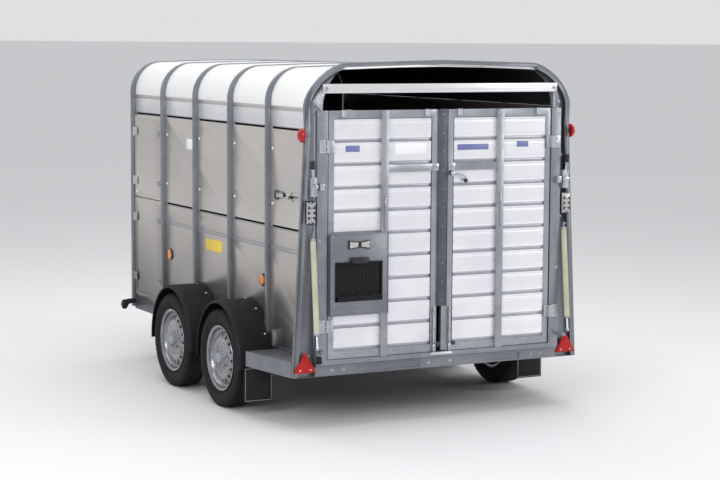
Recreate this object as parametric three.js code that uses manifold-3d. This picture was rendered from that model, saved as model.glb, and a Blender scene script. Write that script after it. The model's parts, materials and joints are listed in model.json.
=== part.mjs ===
// A twin-axle livestock trailer with a hooped aluminium body and a combined ramp and doors at the rear.
// Millimetres, X to the right, Y forward to the coupling, Z up from the ground.
import * as THREE from "three";
import { mergeVertices } from "three/addons/utils/BufferGeometryUtils.js";
import Module from "manifold-3d";

const wasm = await Module();
wasm.setup();

// ---------------------------------------------------------------- driving sizes
const PANEL_HALF = 896.5;
const SHEET = 3;
const FIT_GAP = 0.4;
const RUN_GAP = 4;

const HOOP_PITCH = 615.3;
const FIRST_HOOP = 670;
const HOOP_COUNT = 5;
const HOOP_WEB = 38;
const HOOP_DEPTH = 31;
const HOOP_FLANGE = 20;
const HOOP_SHEET = 3;

const ROOF_TOP = 2287;
const ROOF_RISE = 18;
const HOOP_OVER_ROOF = 6;
const SHOULDER_X = PANEL_HALF - 206.5;
const SHOULDER_Z = ROOF_TOP - 247;
const ROOF_POWER = 2;
const REAR_POWER = 1.6;
const EAVE_Z = SHOULDER_Z - 18;
const EAVE_RAIL = { high: 18, proud: 7 };
const BELT_RAIL = { z: 1100, high: 32, proud: 9 };
const VENT_HIGH = 13;
const VENT_UPPER_Z = EAVE_Z - 141;
const VENT_LOWER_Z = 1240;
const SLOT_INSET = 22;

const TYRE_RADIUS = 328;
const RAIL_LOW = TYRE_RADIUS + 42;
const FLOOR_TOP = RAIL_LOW + 110;
const HOOP_FOOT = RAIL_LOW + 20;
const FLOOR_THICK = 18;
const RAIL_SHEET = 4;
const SIDE_RAIL = 43;
const MAIN_RAIL_X = PANEL_HALF - 126.5;
const MAIN_RAIL_WIDTH = 60;
const MAIN_RAIL_SHORT = 120;
const CROSS_COUNT = 7;
const CROSS_WIDTH = 50;
const CROSS_START = 70;
const DECK_START = 32;

const REAR_HALF_TOP = PANEL_HALF + 77.5;
const REAR_WAIST_Z = ROOF_TOP - 387;
const REAR_HALF_FOOT = PANEL_HALF + 158.5;
const EAR_HALF = PANEL_HALF + 83.5;
const REAR_FOOT_Z = RAIL_LOW - 30;
const REAR_PEAK_Z = ROOF_TOP + 40;
const WING_DEPTH = 25;
const WING_FLANGE = 36;
const OPENING_HALF = PANEL_HALF - 51.5;
const ARCH_BAND = 28;
const JAMB_DEPTH = 50;
const JAMB_WALL = 4;
const SILL_TOP = RAIL_LOW + 37;
const BEAM_DEPTH = 28;
const BEAM_OVER = 60;
const BEAM_RECESS = { x0: 150, short: 290, deep: 9, edge: 14 };

const RAMP_HALF = PANEL_HALF + 3.5;
const RAMP_POST = 72;
const RAMP_TOP = ROOF_TOP - 274;
const RAMP_REAR = -18;
const RAMP_FRONT = 20;
const RAMP_SILL_HIGH = 36;
const RAMP_HINGE_Z = SILL_TOP + 17;

const DOOR_TOP = RAMP_TOP - 1;
const DOOR_FOOT = SILL_TOP + 39;
const HINGE_Z = [660, 1790];
const HINGE_HIGH = 80;
const DOOR_HINGE_STILE = 40;
const DOOR_CENTRE_STILE = 45;
const DOOR_CENTRE_GAP = 34;
const DOOR_MID_WIDTH = 48;
const DOOR_RAIL = 50;
const DOOR_PROUD = 20;
const DOOR_REAR = -12;
const PLANK_COUNT = 10;
const PLANK_RIB = 9;
const PLANK_SHEET = 4;
const CROSS_RAIL_Z = 1643;
const CROSS_RAIL_HIGH = 47;

const PLATE_PANEL = { z0: 722, z1: 1240, thick: 4, over: 25 };
const HOLDER = { half: 162, z0: 812, z1: 1062, deep: 14, off: 7 };
const PLATE_HALF = 148;
const PLATE_LAMP = { half: 50, z0: 1056, z1: 1092, deep: 34 };

const TYRE_WIDTH = 172;
const WHEEL_X = PANEL_HALF + 161.5;
const WHEEL_SIDES = 28;
const RIM_RADIUS = 207;
const RIM_FLANGE = 220;
const RIM_HALF = 73;
const DRUM_RADIUS = 120;
const DRUM_BACK = 118;
const LEAF_HALF = 300;
const LEAF_WIDTH = 60;
const LEAF_DROP = 62;
const LEAF_RISE = 52;
const HANGER_LONG = 26;

const GUARD_HALF = TYRE_RADIUS + 37;
const REAR_AXLE_Y = 981;
const AXLE_Y = [REAR_AXLE_Y, REAR_AXLE_Y + 2 * GUARD_HALF + 117];
const GUARD_HIGH = TYRE_RADIUS + 64;
const GUARD_FOOT_Z = TYRE_RADIUS - 28;
const GUARD_SHEET = 4;
const GUARD_OUT = WHEEL_X + 92;
const GUARD_LIP = 22;
const TRAY_LENGTH = 550;
const TRAY_HIGH = 100;
const TRAY_OUT = WHEEL_X + 76;
const TRAY_WALL = 5;
const FLAP = { x0: WHEEL_X - 117, x1: WHEEL_X + 86, z0: 100, z1: 329, thick: 6 };

const DRAWBAR_REACH = 1010;
const DRAWBAR_LOW = RAIL_LOW - 80;
const DRAWBAR_SPLAY = 560;
const DRAWBAR_NOSE = 62;
const DRAWBAR_BAR = 52;
const DRAWBAR_ROOT = 700;
const COUPLING_LENGTH = 250;

const JOCKEY_X = -190;
const JOCKEY_BACK = 150;
const JOCKEY_WHEEL = 100;
const JOCKEY_TUBE = 30;
const JOCKEY_TUBE_TOP = 760;
const JOCKEY_TUBE_FOOT = 352;
const JOCKEY_FORK_Z = 214;
const JOCKEY_HALF = 22;
const CRANK_REACH = 110;
const CRANK_RISE = 36;
const CRANK_GRIP = 60;
const BRAKE = { x: 86, back: 200, rise: 40, rod: 11, grip: 17 };

const SPRING_X = RAMP_HALF + 31;
const SPRING_RADIUS = 18.5;
const SPRING_TOP = [-24, 1216];
const SPRING_FOOT = [-84, 616];
const SPRING_ROD = 7;
const SPRING_ROD_OUT = 92;

const LEVER = { x0: 26, x1: 120, x2: 130, z: 1600, knobZ: 1552, rod: 6, knob: 15, boss: 16 };
const BOLT = { x: 24, z: 505, top: 740, rod: 7, knob: 14, stand: 66 };
const LATCH_Z = 1540;
const LATCH = { x: 34, half: 60, grip: 13, rod: 7 };
const BAR_LOW = RAMP_TOP + 107;
const BAR_HIGH = BAR_LOW + 58;
const BAR_HALF = RAMP_HALF - 38;
const SIDE_DOOR_FRAME = 30;
const SIDE_DOOR_MID = 1245;
const SIDE_DOOR_SKIN = 4;
const SIDE_DOOR_DEEP = 14;
const SIDE_HINGE_RADIUS = 5.5;
const LAMP = { x: RAMP_HALF + 45, z: 1380, wide: 66, high: 147, deep: 34 };
const TRIANGLE = { x: REAR_HALF_FOOT - 83, z: RAIL_LOW, side: 156, deep: 10 };
const CATCH = { y: 450, z: 1450, long: 240, high: 68, tube: 17, loop: 5 };

// ---------------------------------------------------------------- finishes
const finish = (color, roughness, metalness) =>
  new THREE.MeshStandardMaterial({ color, roughness, metalness });
const GALVANISED = finish(0x9a9ea3, 0.5, 0.8);
const ALUMINIUM = finish(0xc9c8c6, 0.35, 0.9);
const PLANK = finish(0xe0dfe0, 0.4, 0.8);
const WHITE = finish(0xf2f2f0, 0.4, 0.0);
const BLACK = finish(0x26272a, 0.6, 0.0);
const RUBBER = finish(0x1c1c1d, 0.85, 0.0);
const SILVER = finish(0xb9bcc0, 0.35, 0.7);
const CREAM = finish(0xd8cfa8, 0.5, 0.0);
const RED = finish(0xb0120f, 0.25, 0.0);
const DECK = finish(0x6d6b68, 0.8, 0.1);

// ---------------------------------------------------------------- solid helpers
// A closed geometry as a solid, its faces turned outwards.
function solid(geometry) {
  const flat = geometry.index ? geometry.toNonIndexed() : geometry;
  const bare = new THREE.BufferGeometry();
  bare.setAttribute("position", flat.getAttribute("position"));
  const merged = mergeVertices(bare, 1e-3);
  const source = merged.index.array;
  const tris = [];
  for (let i = 0; i < source.length; i += 3) {
    const [a, b, c] = [source[i], source[i + 1], source[i + 2]];
    if (a !== b && b !== c && c !== a) tris.push(a, b, c);
  }
  const build = (list) =>
    new wasm.Manifold(
      new wasm.Mesh({
        numProp: 3,
        vertProperties: merged.attributes.position.array,
        triVerts: new Uint32Array(list),
      }),
    );
  const made = build(tris);
  if (made.volume() >= 0) return made;
  for (let i = 0; i < tris.length; i += 3) {
    [tris[i + 1], tris[i + 2]] = [tris[i + 2], tris[i + 1]];
  }
  return build(tris);
}

const join = (...list) => list.flat().reduce((all, next) => all.add(next));
const cut = (base, ...list) => list.flat().reduce((all, next) => all.subtract(next), base);

// A box between two corners.
function box(x0, x1, y0, y1, z0, z1) {
  const g = new THREE.BoxGeometry(Math.abs(x1 - x0), Math.abs(y1 - y0), Math.abs(z1 - z0));
  g.translate((x0 + x1) / 2, (y0 + y1) / 2, (z0 + z1) / 2);
  return solid(g);
}

function extruded(points, depth) {
  const shape = new THREE.Shape(points.map(([a, b]) => new THREE.Vector2(a, b)));
  return new THREE.ExtrudeGeometry(shape, { depth, bevelEnabled: false, steps: 1 });
}

// A profile of (x, z) points drawn out along Y.
function alongY(points, y0, y1) {
  const g = extruded(points, y1 - y0);
  g.rotateX(Math.PI / 2);
  g.translate(0, y1, 0);
  return solid(g);
}

// A profile of (y, z) points drawn out along X.
function alongX(points, x0, x1) {
  const g = extruded(points, x1 - x0);
  g.applyMatrix4(new THREE.Matrix4().set(0, 0, 1, x0, 1, 0, 0, 0, 0, 1, 0, 0, 0, 0, 0, 1));
  return solid(g);
}

// A profile of (x, y) points drawn out along Z.
function alongZ(points, z0, z1) {
  const g = extruded(points, z1 - z0);
  g.translate(0, 0, z0);
  return solid(g);
}

// A round bar between two points.
function bar(a, b, radius, sides = 14) {
  const from = new THREE.Vector3(...a);
  const to = new THREE.Vector3(...b);
  const run = to.clone().sub(from);
  const g = new THREE.CylinderGeometry(radius, radius, run.length(), sides);
  const turn = new THREE.Quaternion().setFromUnitVectors(
    new THREE.Vector3(0, 1, 0),
    run.clone().normalize(),
  );
  g.applyQuaternion(turn);
  g.translate(...from.add(to).multiplyScalar(0.5).toArray());
  return solid(g);
}

function ball(centre, radius, sides = 14) {
  const g = new THREE.SphereGeometry(radius, sides, Math.round(sides / 2));
  g.translate(...centre);
  return solid(g);
}

// A bent round bar through a list of points.
function bentBar(points, radius, sides = 10) {
  const legs = points.slice(1).map((p, i) => bar(points[i], p, radius, sides));
  const knees = points.slice(1, -1).map((p) => ball(p, radius * 1.02, sides));
  return join(legs, knees);
}

// A closed (radius, offset) profile turned about an axis parallel to X.
function turnedX(profile, centre, sides = 36) {
  const points = [...profile, profile[0]].map(([r, s]) => new THREE.Vector2(r, s));
  const g = new THREE.LatheGeometry(points, sides);
  g.rotateZ(-Math.PI / 2);
  g.translate(...centre);
  return solid(g);
}

const mirrorX = (points) => points.map(([x, z]) => [-x, z]);
const bothSides = (make) => join(make(-1), make(1));
const xBox = (s, x0, x1, ...rest) => box(Math.min(s * x0, s * x1), Math.max(s * x0, s * x1), ...rest);

// A C section whose open side faces the middle (along Y) or the rear (along X).
function channelY(s, x0, x1, z0, z1, y0, y1) {
  const t = RAIL_SHEET;
  const lips = [
    [x0, z0], [x1, z0], [x1, z1], [x0, z1], [x0, z1 - t], [x1 - t, z1 - t], [x1 - t, z0 + t], [x0, z0 + t],
  ];
  return alongY(s > 0 ? lips : mirrorX(lips), y0, y1);
}

function channelX(y0, y1, z0, z1, half) {
  const t = RAIL_SHEET;
  const lips = [
    [y0, z0], [y1, z0], [y1, z1], [y0, z1], [y0, z1 - t], [y1 - t, z1 - t], [y1 - t, z0 + t], [y0, z0 + t],
  ];
  return alongX(lips, -half, half);
}

const root = new THREE.Group();
root.name = "livestock_trailer";

function part(name, made, material) {
  const mesh = made.getMesh();
  const g = new THREE.BufferGeometry();
  g.setAttribute("position", new THREE.BufferAttribute(new Float32Array(mesh.vertProperties), 3));
  g.setIndex(new THREE.BufferAttribute(new Uint32Array(mesh.triVerts), 1));
  g.computeVertexNormals();
  const node = new THREE.Mesh(g, material);
  node.name = name;
  root.add(node);
}

// ---------------------------------------------------------------- body outline
// Half of a roof outline from the ridge down to the shoulder, inset by a distance.
function shoulder(half, top, power, inset = 0, steps = 8) {
  const startX = SHOULDER_X - inset * 0.3;
  const startZ = top - ROOF_RISE - inset;
  const spanX = half - inset - startX;
  const spanZ = startZ - SHOULDER_Z;
  const points = [[0, top - inset]];
  for (let i = 0; i <= steps; i += 1) {
    const t = (i / steps) * (Math.PI / 2);
    const x = startX + spanX * Math.sin(t) ** (2 / power);
    const z = SHOULDER_Z + spanZ * Math.cos(t) ** (2 / power);
    points.push([x, z]);
  }
  return points;
}

// The whole outline from the right foot over the roof to the left foot.
function outline(half, top, inset, foot) {
  const right = shoulder(half, top, ROOF_POWER, inset);
  const up = [...right].reverse();
  return [[half - inset, foot], ...up, ...mirrorX(right.slice(1)), [-(half - inset), foot]];
}

const hoopHalf = PANEL_HALF + HOOP_DEPTH;
const hoopTop = ROOF_TOP + HOOP_OVER_ROOF;
const skinLine = (inset, foot) => outline(PANEL_HALF, ROOF_TOP, inset, foot);
const hoopLine = (inset, foot) => outline(hoopHalf, hoopTop, inset, foot);
const between = (outer, inner) => [...outer, ...inner.reverse()];
const hoopY = (i) => FIRST_HOOP + i * HOOP_PITCH;
const frontHoop = hoopY(HOOP_COUNT - 1);
const railTop = FLOOR_TOP - FLOOR_THICK - FIT_GAP;
const hoopFoot = FLOOR_TOP + FIT_GAP;
const bodyFront = frontHoop + HOOP_WEB;

// ---------------------------------------------------------------- hoops
// Each hoop is a pressed channel, open towards the skin, with a flange on its front edge.
for (let i = 0; i < HOOP_COUNT; i += 1) {
  const y = hoopY(i);
  const last = i === HOOP_COUNT - 1;
  const web = alongY(between(hoopLine(0, HOOP_FOOT), skinLine(-FIT_GAP, HOOP_FOOT)), y, y + HOOP_WEB);
  const hollow = alongY(
    between(hoopLine(HOOP_SHEET, HOOP_FOOT - 1), skinLine(0, HOOP_FOOT - 1)),
    y + HOOP_SHEET,
    y + HOOP_WEB - HOOP_SHEET,
  );
  const flange = alongY(
    between(skinLine(-HOOP_SHEET, HOOP_FOOT), skinLine(-FIT_GAP, HOOP_FOOT)),
    y + HOOP_WEB - HOOP_SHEET,
    last ? y + HOOP_WEB : y + HOOP_WEB + HOOP_FLANGE,
  );
  part("hoop_" + (i + 1), join(cut(web, hollow), flange), GALVANISED);
}

// ---------------------------------------------------------------- chassis
const cross = [];
for (let i = 0; i < CROSS_COUNT; i += 1) {
  const run = bodyFront - MAIN_RAIL_SHORT - CROSS_START;
  const y = CROSS_START + (i * (run - 1)) / (CROSS_COUNT - 1);
  cross.push(channelX(y, y + CROSS_WIDTH, RAIL_LOW, railTop - 1, PANEL_HALF - SHEET - 1));
}
const sideRails = bothSides((s) =>
  channelY(s, PANEL_HALF - SIDE_RAIL, PANEL_HALF - FIT_GAP, RAIL_LOW, railTop, BEAM_DEPTH + 2, bodyFront),
);
const mainRails = bothSides((s) =>
  channelY(s, MAIN_RAIL_X - MAIN_RAIL_WIDTH / 2, MAIN_RAIL_X + MAIN_RAIL_WIDTH / 2,
    RAIL_LOW, railTop, CROSS_START, bodyFront - MAIN_RAIL_SHORT),
);
part("chassis_frame", join(cross, sideRails, mainRails), GALVANISED);

const deckHalf = PANEL_HALF - SHEET - 2;
part(
  "floor_deck",
  box(-deckHalf, deckHalf, DECK_START, bodyFront - SHEET - 2, FLOOR_TOP - FLOOR_THICK, FLOOR_TOP),
  DECK,
);

// ---------------------------------------------------------------- rear crossmember and trays
const beam = box(-RAMP_HALF - BEAM_OVER, RAMP_HALF + BEAM_OVER, 0, BEAM_DEPTH, REAR_FOOT_Z, SILL_TOP);
const recess = bothSides((s) =>
  xBox(s, BEAM_RECESS.x0, RAMP_HALF - BEAM_RECESS.short, -1, BEAM_RECESS.deep,
    REAR_FOOT_Z + BEAM_RECESS.edge, SILL_TOP - BEAM_RECESS.edge),
);
const trayFront = TRAY_LENGTH - TRAY_WALL;
const trayInner = RAMP_HALF + RUN_GAP;
const trayPlan = (s, wall, y0) => [
  [s * (trayInner + wall), y0],
  [s * (REAR_HALF_FOOT - 2 - wall), y0],
  [s * (TRAY_OUT - wall), trayFront - wall],
  [s * (trayInner + wall), trayFront - wall],
];
const tray = (s) => alongZ(trayPlan(s, 0, 0), REAR_FOOT_Z, REAR_FOOT_Z + TRAY_HIGH);
const trayHollow = (s) =>
  alongZ(trayPlan(s, TRAY_WALL, WING_DEPTH + 20), REAR_FOOT_Z - 1, REAR_FOOT_Z + TRAY_HIGH - TRAY_WALL);
const wingRoom = bothSides((s) =>
  xBox(s, trayInner - 2, TRAY_OUT + 60, -2, WING_DEPTH + FIT_GAP, REAR_FOOT_Z - 1, REAR_FOOT_Z + 180),
);
const sideArm = bothSides((s) =>
  xBox(s, PANEL_HALF + FIT_GAP, RAMP_HALF + 20, WING_DEPTH + 1, trayFront,
    RAIL_LOW, RAIL_LOW + MAIN_RAIL_WIDTH),
);
const trays = bothSides((s) => cut(tray(s), trayHollow(s)));
const beamBack = box(-RAMP_HALF - BEAM_OVER, RAMP_HALF + BEAM_OVER, WING_DEPTH + 1,
  BEAM_DEPTH + BEAM_RECESS.edge, REAR_FOOT_Z, RAIL_LOW - 1);
part(
  "rear_crossmember",
  join(cut(beam, recess, wingRoom), cut(trays, wingRoom), sideArm, beamBack),
  GALVANISED,
);

// ---------------------------------------------------------------- rear frame with its wings
const rearOuter = (inset) => {
  const right = [
    ...shoulder(EAR_HALF, REAR_PEAK_Z, REAR_POWER, inset),
    [REAR_HALF_TOP - inset, REAR_WAIST_Z],
    [REAR_HALF_FOOT - inset, REAR_FOOT_Z],
  ];
  return [...[...right].reverse(), ...mirrorX(right.slice(1))];
};
// The opening: straight jambs beside the ramp, stepping in above it and then following the arch.
const openingHalf = (half, foot) => {
  const step = half > OPENING_HALF ? [[OPENING_HALF, RAMP_TOP + 6]] : [];
  const arch = shoulder(OPENING_HALF + ARCH_BAND, REAR_PEAK_Z, REAR_POWER, ARCH_BAND);
  const right = [[half, foot], [half, RAMP_TOP + 6], ...step, ...arch.reverse().slice(1)];
  return [...right, ...mirrorX(right.slice(0, -1)).reverse()];
};
const below = REAR_FOOT_Z - 10;
const farOut = REAR_HALF_FOOT + 150;
const footBand = box(-farOut, farOut, -20, 60, below - 20, REAR_FOOT_Z + SHEET);
const rearHole = alongY(openingHalf(RAMP_HALF + RUN_GAP, below), -10, WING_DEPTH + 10);
const rearSheet = alongY(rearOuter(0), 0, WING_DEPTH);
const rearRecess = cut(alongY(rearOuter(WING_FLANGE), -10, WING_DEPTH - SHEET), footBand);
const rearBehind = cut(alongY(rearOuter(SHEET), SHEET, WING_DEPTH - SHEET), footBand);
const jambInset = SHEET + 2;
const jambBack = WING_DEPTH + JAMB_DEPTH;
const jambHole = alongY(openingHalf(OPENING_HALF, below), 0, jambBack + 5);
const jambRing = cut(alongY(skinLine(jambInset, hoopFoot), WING_DEPTH - SHEET, jambBack), jambHole);
const jambHollow = cut(
  alongY(skinLine(jambInset + JAMB_WALL, hoopFoot + JAMB_WALL), WING_DEPTH + JAMB_WALL, jambBack + 1),
  alongY(openingHalf(OPENING_HALF + JAMB_WALL, below), 0, jambBack + 5),
);
part(
  "rear_frame",
  join(cut(rearSheet, rearHole, rearRecess, rearBehind), cut(jambRing, jambHollow)),
  GALVANISED,
);

// ---------------------------------------------------------------- roof, walls
const wallBack = WING_DEPTH + 1;
const roofFoot = EAVE_Z + 1;
part(
  "roof_shell",
  alongY(between(skinLine(0, roofFoot), skinLine(SHEET, roofFoot)), wallBack, bodyFront - 1),
  WHITE,
);
// The clear length of each bay between its hoops, from the rear frame forward.
const bay = (i) => ({
  y0: i === 0 ? WING_DEPTH + JAMB_DEPTH : hoopY(i - 1) + HOOP_WEB + HOOP_FLANGE,
  y1: hoopY(i),
});
const doorBay = bay(HOOP_COUNT - 1);
const doorFoot = FLOOR_TOP + RUN_GAP;
const doorHead = VENT_UPPER_Z - VENT_HIGH;
function sideWall(s, hasDoors) {
  const inner = PANEL_HALF - SHEET;
  const through = (y0, y1, z0, z1) => xBox(s, inner - 5, PANEL_HALF + 5, y0, y1, z0, z1);
  const slot = ({ y0, y1 }, z) =>
    through(y0 + SLOT_INSET, y1 - SLOT_INSET, z - VENT_HIGH / 2, z + VENT_HIGH / 2);
  const rail = ({ y0, y1 }, z0, high, proud) =>
    xBox(s, PANEL_HALF - 1, PANEL_HALF + proud, y0 + 1, y1 - 1, z0, z0 + high);
  const sheet = xBox(s, inner, PANEL_HALF, wallBack, bodyFront - 1, railTop + 2, EAVE_Z);
  const slots = [];
  const rails = [];
  for (let i = 0; i < HOOP_COUNT; i += 1) {
    slots.push(slot(bay(i), VENT_UPPER_Z));
    rails.push(rail(bay(i), EAVE_Z - EAVE_RAIL.high, EAVE_RAIL.high, EAVE_RAIL.proud));
    if (hasDoors && i === HOOP_COUNT - 1) {
      const edge = SIDE_DOOR_FRAME / 2;
      slots.push(through(doorBay.y0 + edge, doorBay.y1 - edge, doorFoot + 1, doorHead - edge));
    } else {
      slots.push(slot(bay(i), VENT_LOWER_Z));
      rails.push(rail(bay(i), BELT_RAIL.z - BELT_RAIL.high / 2, BELT_RAIL.high, BELT_RAIL.proud));
    }
  }
  return join(cut(sheet, slots), rails);
}
part("side_wall_right", sideWall(1, false), ALUMINIUM);
part(
  "front_wall",
  alongY(skinLine(SHEET + 1, hoopFoot), bodyFront - 10, bodyFront - 10 + SHEET),
  ALUMINIUM,
);

// ---------------------------------------------------------------- side doors of the front bay
const skinX = -(PANEL_HALF + 1);
const sideHingeX = skinX - SIDE_DOOR_DEEP - 7;
const sideDoorEnd = doorBay.y1 - SIDE_HINGE_RADIUS - 1.5;
function sideDoor(z0, z1) {
  const y0 = doorBay.y0 + 2;
  const y1 = sideDoorEnd;
  const edge = SIDE_DOOR_FRAME;
  const outer = skinX - SIDE_DOOR_DEEP;
  const slab = box(outer, skinX, y0, y1, z0, z1);
  const field = box(outer - 1, skinX - SIDE_DOOR_SKIN, y0 + edge, y1 - edge, z0 + edge, z1 - edge);
  const fittingZ = [z0 + (z1 - z0) * 0.2, z0 + (z1 - z0) * 0.8];
  const latches = fittingZ.map((z) => box(outer - 8, outer + 2, y0 + 3, y0 + 60, z - 14, z + 14));
  const knuckles = fittingZ.map((z) =>
    bar([sideHingeX, y1, z - 35], [sideHingeX, y1, z + 35], SIDE_HINGE_RADIUS),
  );
  const leaves = fittingZ.map((z) => box(sideHingeX - 1, outer + 2, y1 - 50, y1, z - 30, z + 30));
  return join(cut(slab, field), latches, knuckles, leaves);
}
part("lower_side_door", sideDoor(doorFoot, SIDE_DOOR_MID - 3), ALUMINIUM);
part("upper_side_door", sideDoor(SIDE_DOOR_MID + 3, doorHead), ALUMINIUM);

// ---------------------------------------------------------------- gate catch in the last bay
const catchX = -(PANEL_HALF - 1);
const catchPlate = box(catchX - 6, catchX, CATCH.y - CATCH.long / 2, CATCH.y + CATCH.long / 2,
  CATCH.z - CATCH.high / 2, CATCH.z + CATCH.high / 2);
const catchTubeX = catchX - CATCH.tube - 3;
const catchTube = cut(
  bar([catchTubeX, CATCH.y - 110, CATCH.z], [catchTubeX, CATCH.y + 60, CATCH.z], CATCH.tube),
  box(catchX, catchX + 60, CATCH.y - 200, CATCH.y + 200, CATCH.z - 60, CATCH.z + 60),
);
part("side_wall_left", join(sideWall(-1, true), catchPlate, catchTube), ALUMINIUM);
const loopX = catchTubeX - 4;
const loopY = [CATCH.y + 66, CATCH.y + 110];
const loopZ = [CATCH.z + 26, CATCH.z - 26];
part(
  "gate_catch_loop",
  bentBar(
    [
      [loopX, loopY[0], loopZ[0]],
      [loopX, loopY[1], loopZ[0]],
      [loopX, loopY[1], loopZ[1]],
      [loopX, loopY[0], loopZ[1]],
      [loopX, loopY[0], loopZ[0]],
    ],
    CATCH.loop,
    6,
  ),
  BLACK,
);

// ---------------------------------------------------------------- ramp frame
const postInner = RAMP_HALF - RAMP_POST;
const posts = bothSides((s) =>
  xBox(s, postInner, RAMP_HALF, RAMP_REAR, RAMP_FRONT, SILL_TOP + RUN_GAP, RAMP_TOP),
);
const rampSill = box(
  -postInner - 5, postInner + 5, RAMP_REAR, RAMP_FRONT, SILL_TOP + RUN_GAP, SILL_TOP + RAMP_SILL_HIGH,
);
const doorHingeX = postInner + 3;
const rampHinges = bothSides((s) =>
  join(
    HINGE_Z.map((z) =>
      xBox(s, postInner + 12, RAMP_HALF - 8, RAMP_REAR - 8, RAMP_REAR + 1,
        z - HINGE_HIGH / 2 - 2, z + HINGE_HIGH / 2 + 2),
    ),
  ),
);
const keeper = box(-70, 70, RAMP_REAR - 9, RAMP_REAR + 1, RAMP_HINGE_Z + 4, SILL_TOP + RAMP_SILL_HIGH - 2);
const armX = RAMP_HALF - 12;
const rampArm = bothSides((s) =>
  join(
    xBox(s, armX - 8, armX + 8, SPRING_FOOT[0] - 16, RAMP_REAR + 1, 496, 520),
    xBox(s, armX - 8, armX + 20, SPRING_FOOT[0] - 16, SPRING_FOOT[0] + 16, 496, 520),
  ),
);
const striker = bothSides((s) =>
  xBox(s, RAMP_HALF - 40, RAMP_HALF - 6, RAMP_REAR - 26, RAMP_REAR + 1, LATCH_Z - 22, LATCH_Z + 22),
);
part("ramp_frame", join(posts, rampSill, rampHinges, keeper, rampArm, striker), GALVANISED);

// ---------------------------------------------------------------- rear doors
const doorOuter = postInner - 2 * RUN_GAP;
const doorMid = (DOOR_CENTRE_GAP + doorOuter) / 2;
const doorFront = RAMP_FRONT - 2;
function doorFrame(s) {
  const z0 = DOOR_FOOT;
  const z1 = DOOR_TOP;
  const inside = DOOR_CENTRE_GAP;
  const centreEdge = inside + DOOR_CENTRE_STILE;
  const stiles = [
    xBox(s, doorOuter - DOOR_HINGE_STILE, doorOuter, DOOR_REAR, doorFront, z0, z1),
    xBox(s, inside, centreEdge, DOOR_REAR, doorFront, z0, z1),
    xBox(s, doorMid - DOOR_MID_WIDTH / 2, doorMid + DOOR_MID_WIDTH / 2,
      DOOR_REAR - DOOR_PROUD, DOOR_REAR + 1, z0, z1 - 2),
  ];
  const rails = [
    xBox(s, inside, doorOuter, DOOR_REAR, doorFront, z1 - DOOR_RAIL, z1),
    xBox(s, inside, doorOuter, DOOR_REAR, doorFront, z0, z0 + DOOR_RAIL),
    xBox(s, inside + 2, doorMid, DOOR_REAR - 14, DOOR_REAR + 1,
      CROSS_RAIL_Z - CROSS_RAIL_HIGH / 2, CROSS_RAIL_Z + CROSS_RAIL_HIGH / 2),
  ];
  const straps = HINGE_Z.map((z) =>
    xBox(s, doorOuter - 30, doorOuter + 2, DOOR_REAR - 10, DOOR_REAR + 1,
      z - HINGE_HIGH / 2, z + HINGE_HIGH / 2),
  );
  const pinX = s * (doorHingeX + 1);
  const knuckles = HINGE_Z.map((z) =>
    bar([pinX, RAMP_REAR - 14, z - HINGE_HIGH / 2], [pinX, RAMP_REAR - 14, z + HINGE_HIGH / 2], 8),
  );
  const links = HINGE_Z.map((z) =>
    xBox(s, doorOuter - 6, doorHingeX + 1, RAMP_REAR - 18, RAMP_REAR - 8, z - 38, z + 38),
  );
  const drops = HINGE_Z.map((z) =>
    xBox(s, doorOuter - 14, doorOuter - 2, RAMP_REAR - 18, DOOR_REAR + 1, z - 38, z + 38),
  );
  const sockets = [120, doorOuter - 100].map((x) =>
    bar([s * x, DOOR_REAR - 8, z1 - 44], [s * x, DOOR_REAR - 8, z1 + 6], 15),
  );
  return join(stiles, rails, straps, knuckles, links, drops, sockets);
}
const centreStrip = join(
  box(-DOOR_CENTRE_GAP + 3, DOOR_CENTRE_GAP + 1, DOOR_REAR - 10, DOOR_REAR + 2, 744, DOOR_TOP - 4),
  box(2, DOOR_CENTRE_GAP + 1, DOOR_REAR + 1, doorFront - 4, DOOR_FOOT + 2, DOOR_TOP - 4),
);
part("left_door_frame", doorFrame(-1), GALVANISED);
part("right_door_frame", join(doorFrame(1), centreStrip), GALVANISED);

// Ribbed planks: a flat face with a set-back ledge under each.
function plankStack(s) {
  const x0 = DOOR_CENTRE_GAP + DOOR_CENTRE_STILE + FIT_GAP;
  const x1 = doorOuter - DOOR_HINGE_STILE - FIT_GAP;
  const z0 = DOOR_FOOT + DOOR_RAIL + FIT_GAP;
  const z1 = DOOR_TOP - DOOR_RAIL - FIT_GAP;
  const pitch = (z1 - z0) / PLANK_COUNT;
  const face = DOOR_REAR + 1 + FIT_GAP;
  const front = [];
  for (let i = 0; i < PLANK_COUNT; i += 1) {
    const z = z0 + i * pitch;
    front.push([face + PLANK_RIB, z], [face + PLANK_RIB, z + pitch * 0.1]);
    front.push([face, z + pitch * 0.16], [face, z + pitch * 0.97]);
  }
  front.push([face + PLANK_RIB, z1]);
  const back = front.map(([y, z]) => [y + PLANK_SHEET, z]).reverse();
  return alongX([...front, ...back], s > 0 ? x0 : -x1, s > 0 ? x1 : -x0);
}
part("left_door_planks", plankStack(-1), PLANK);
part("right_door_planks", plankStack(1), PLANK);

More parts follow.
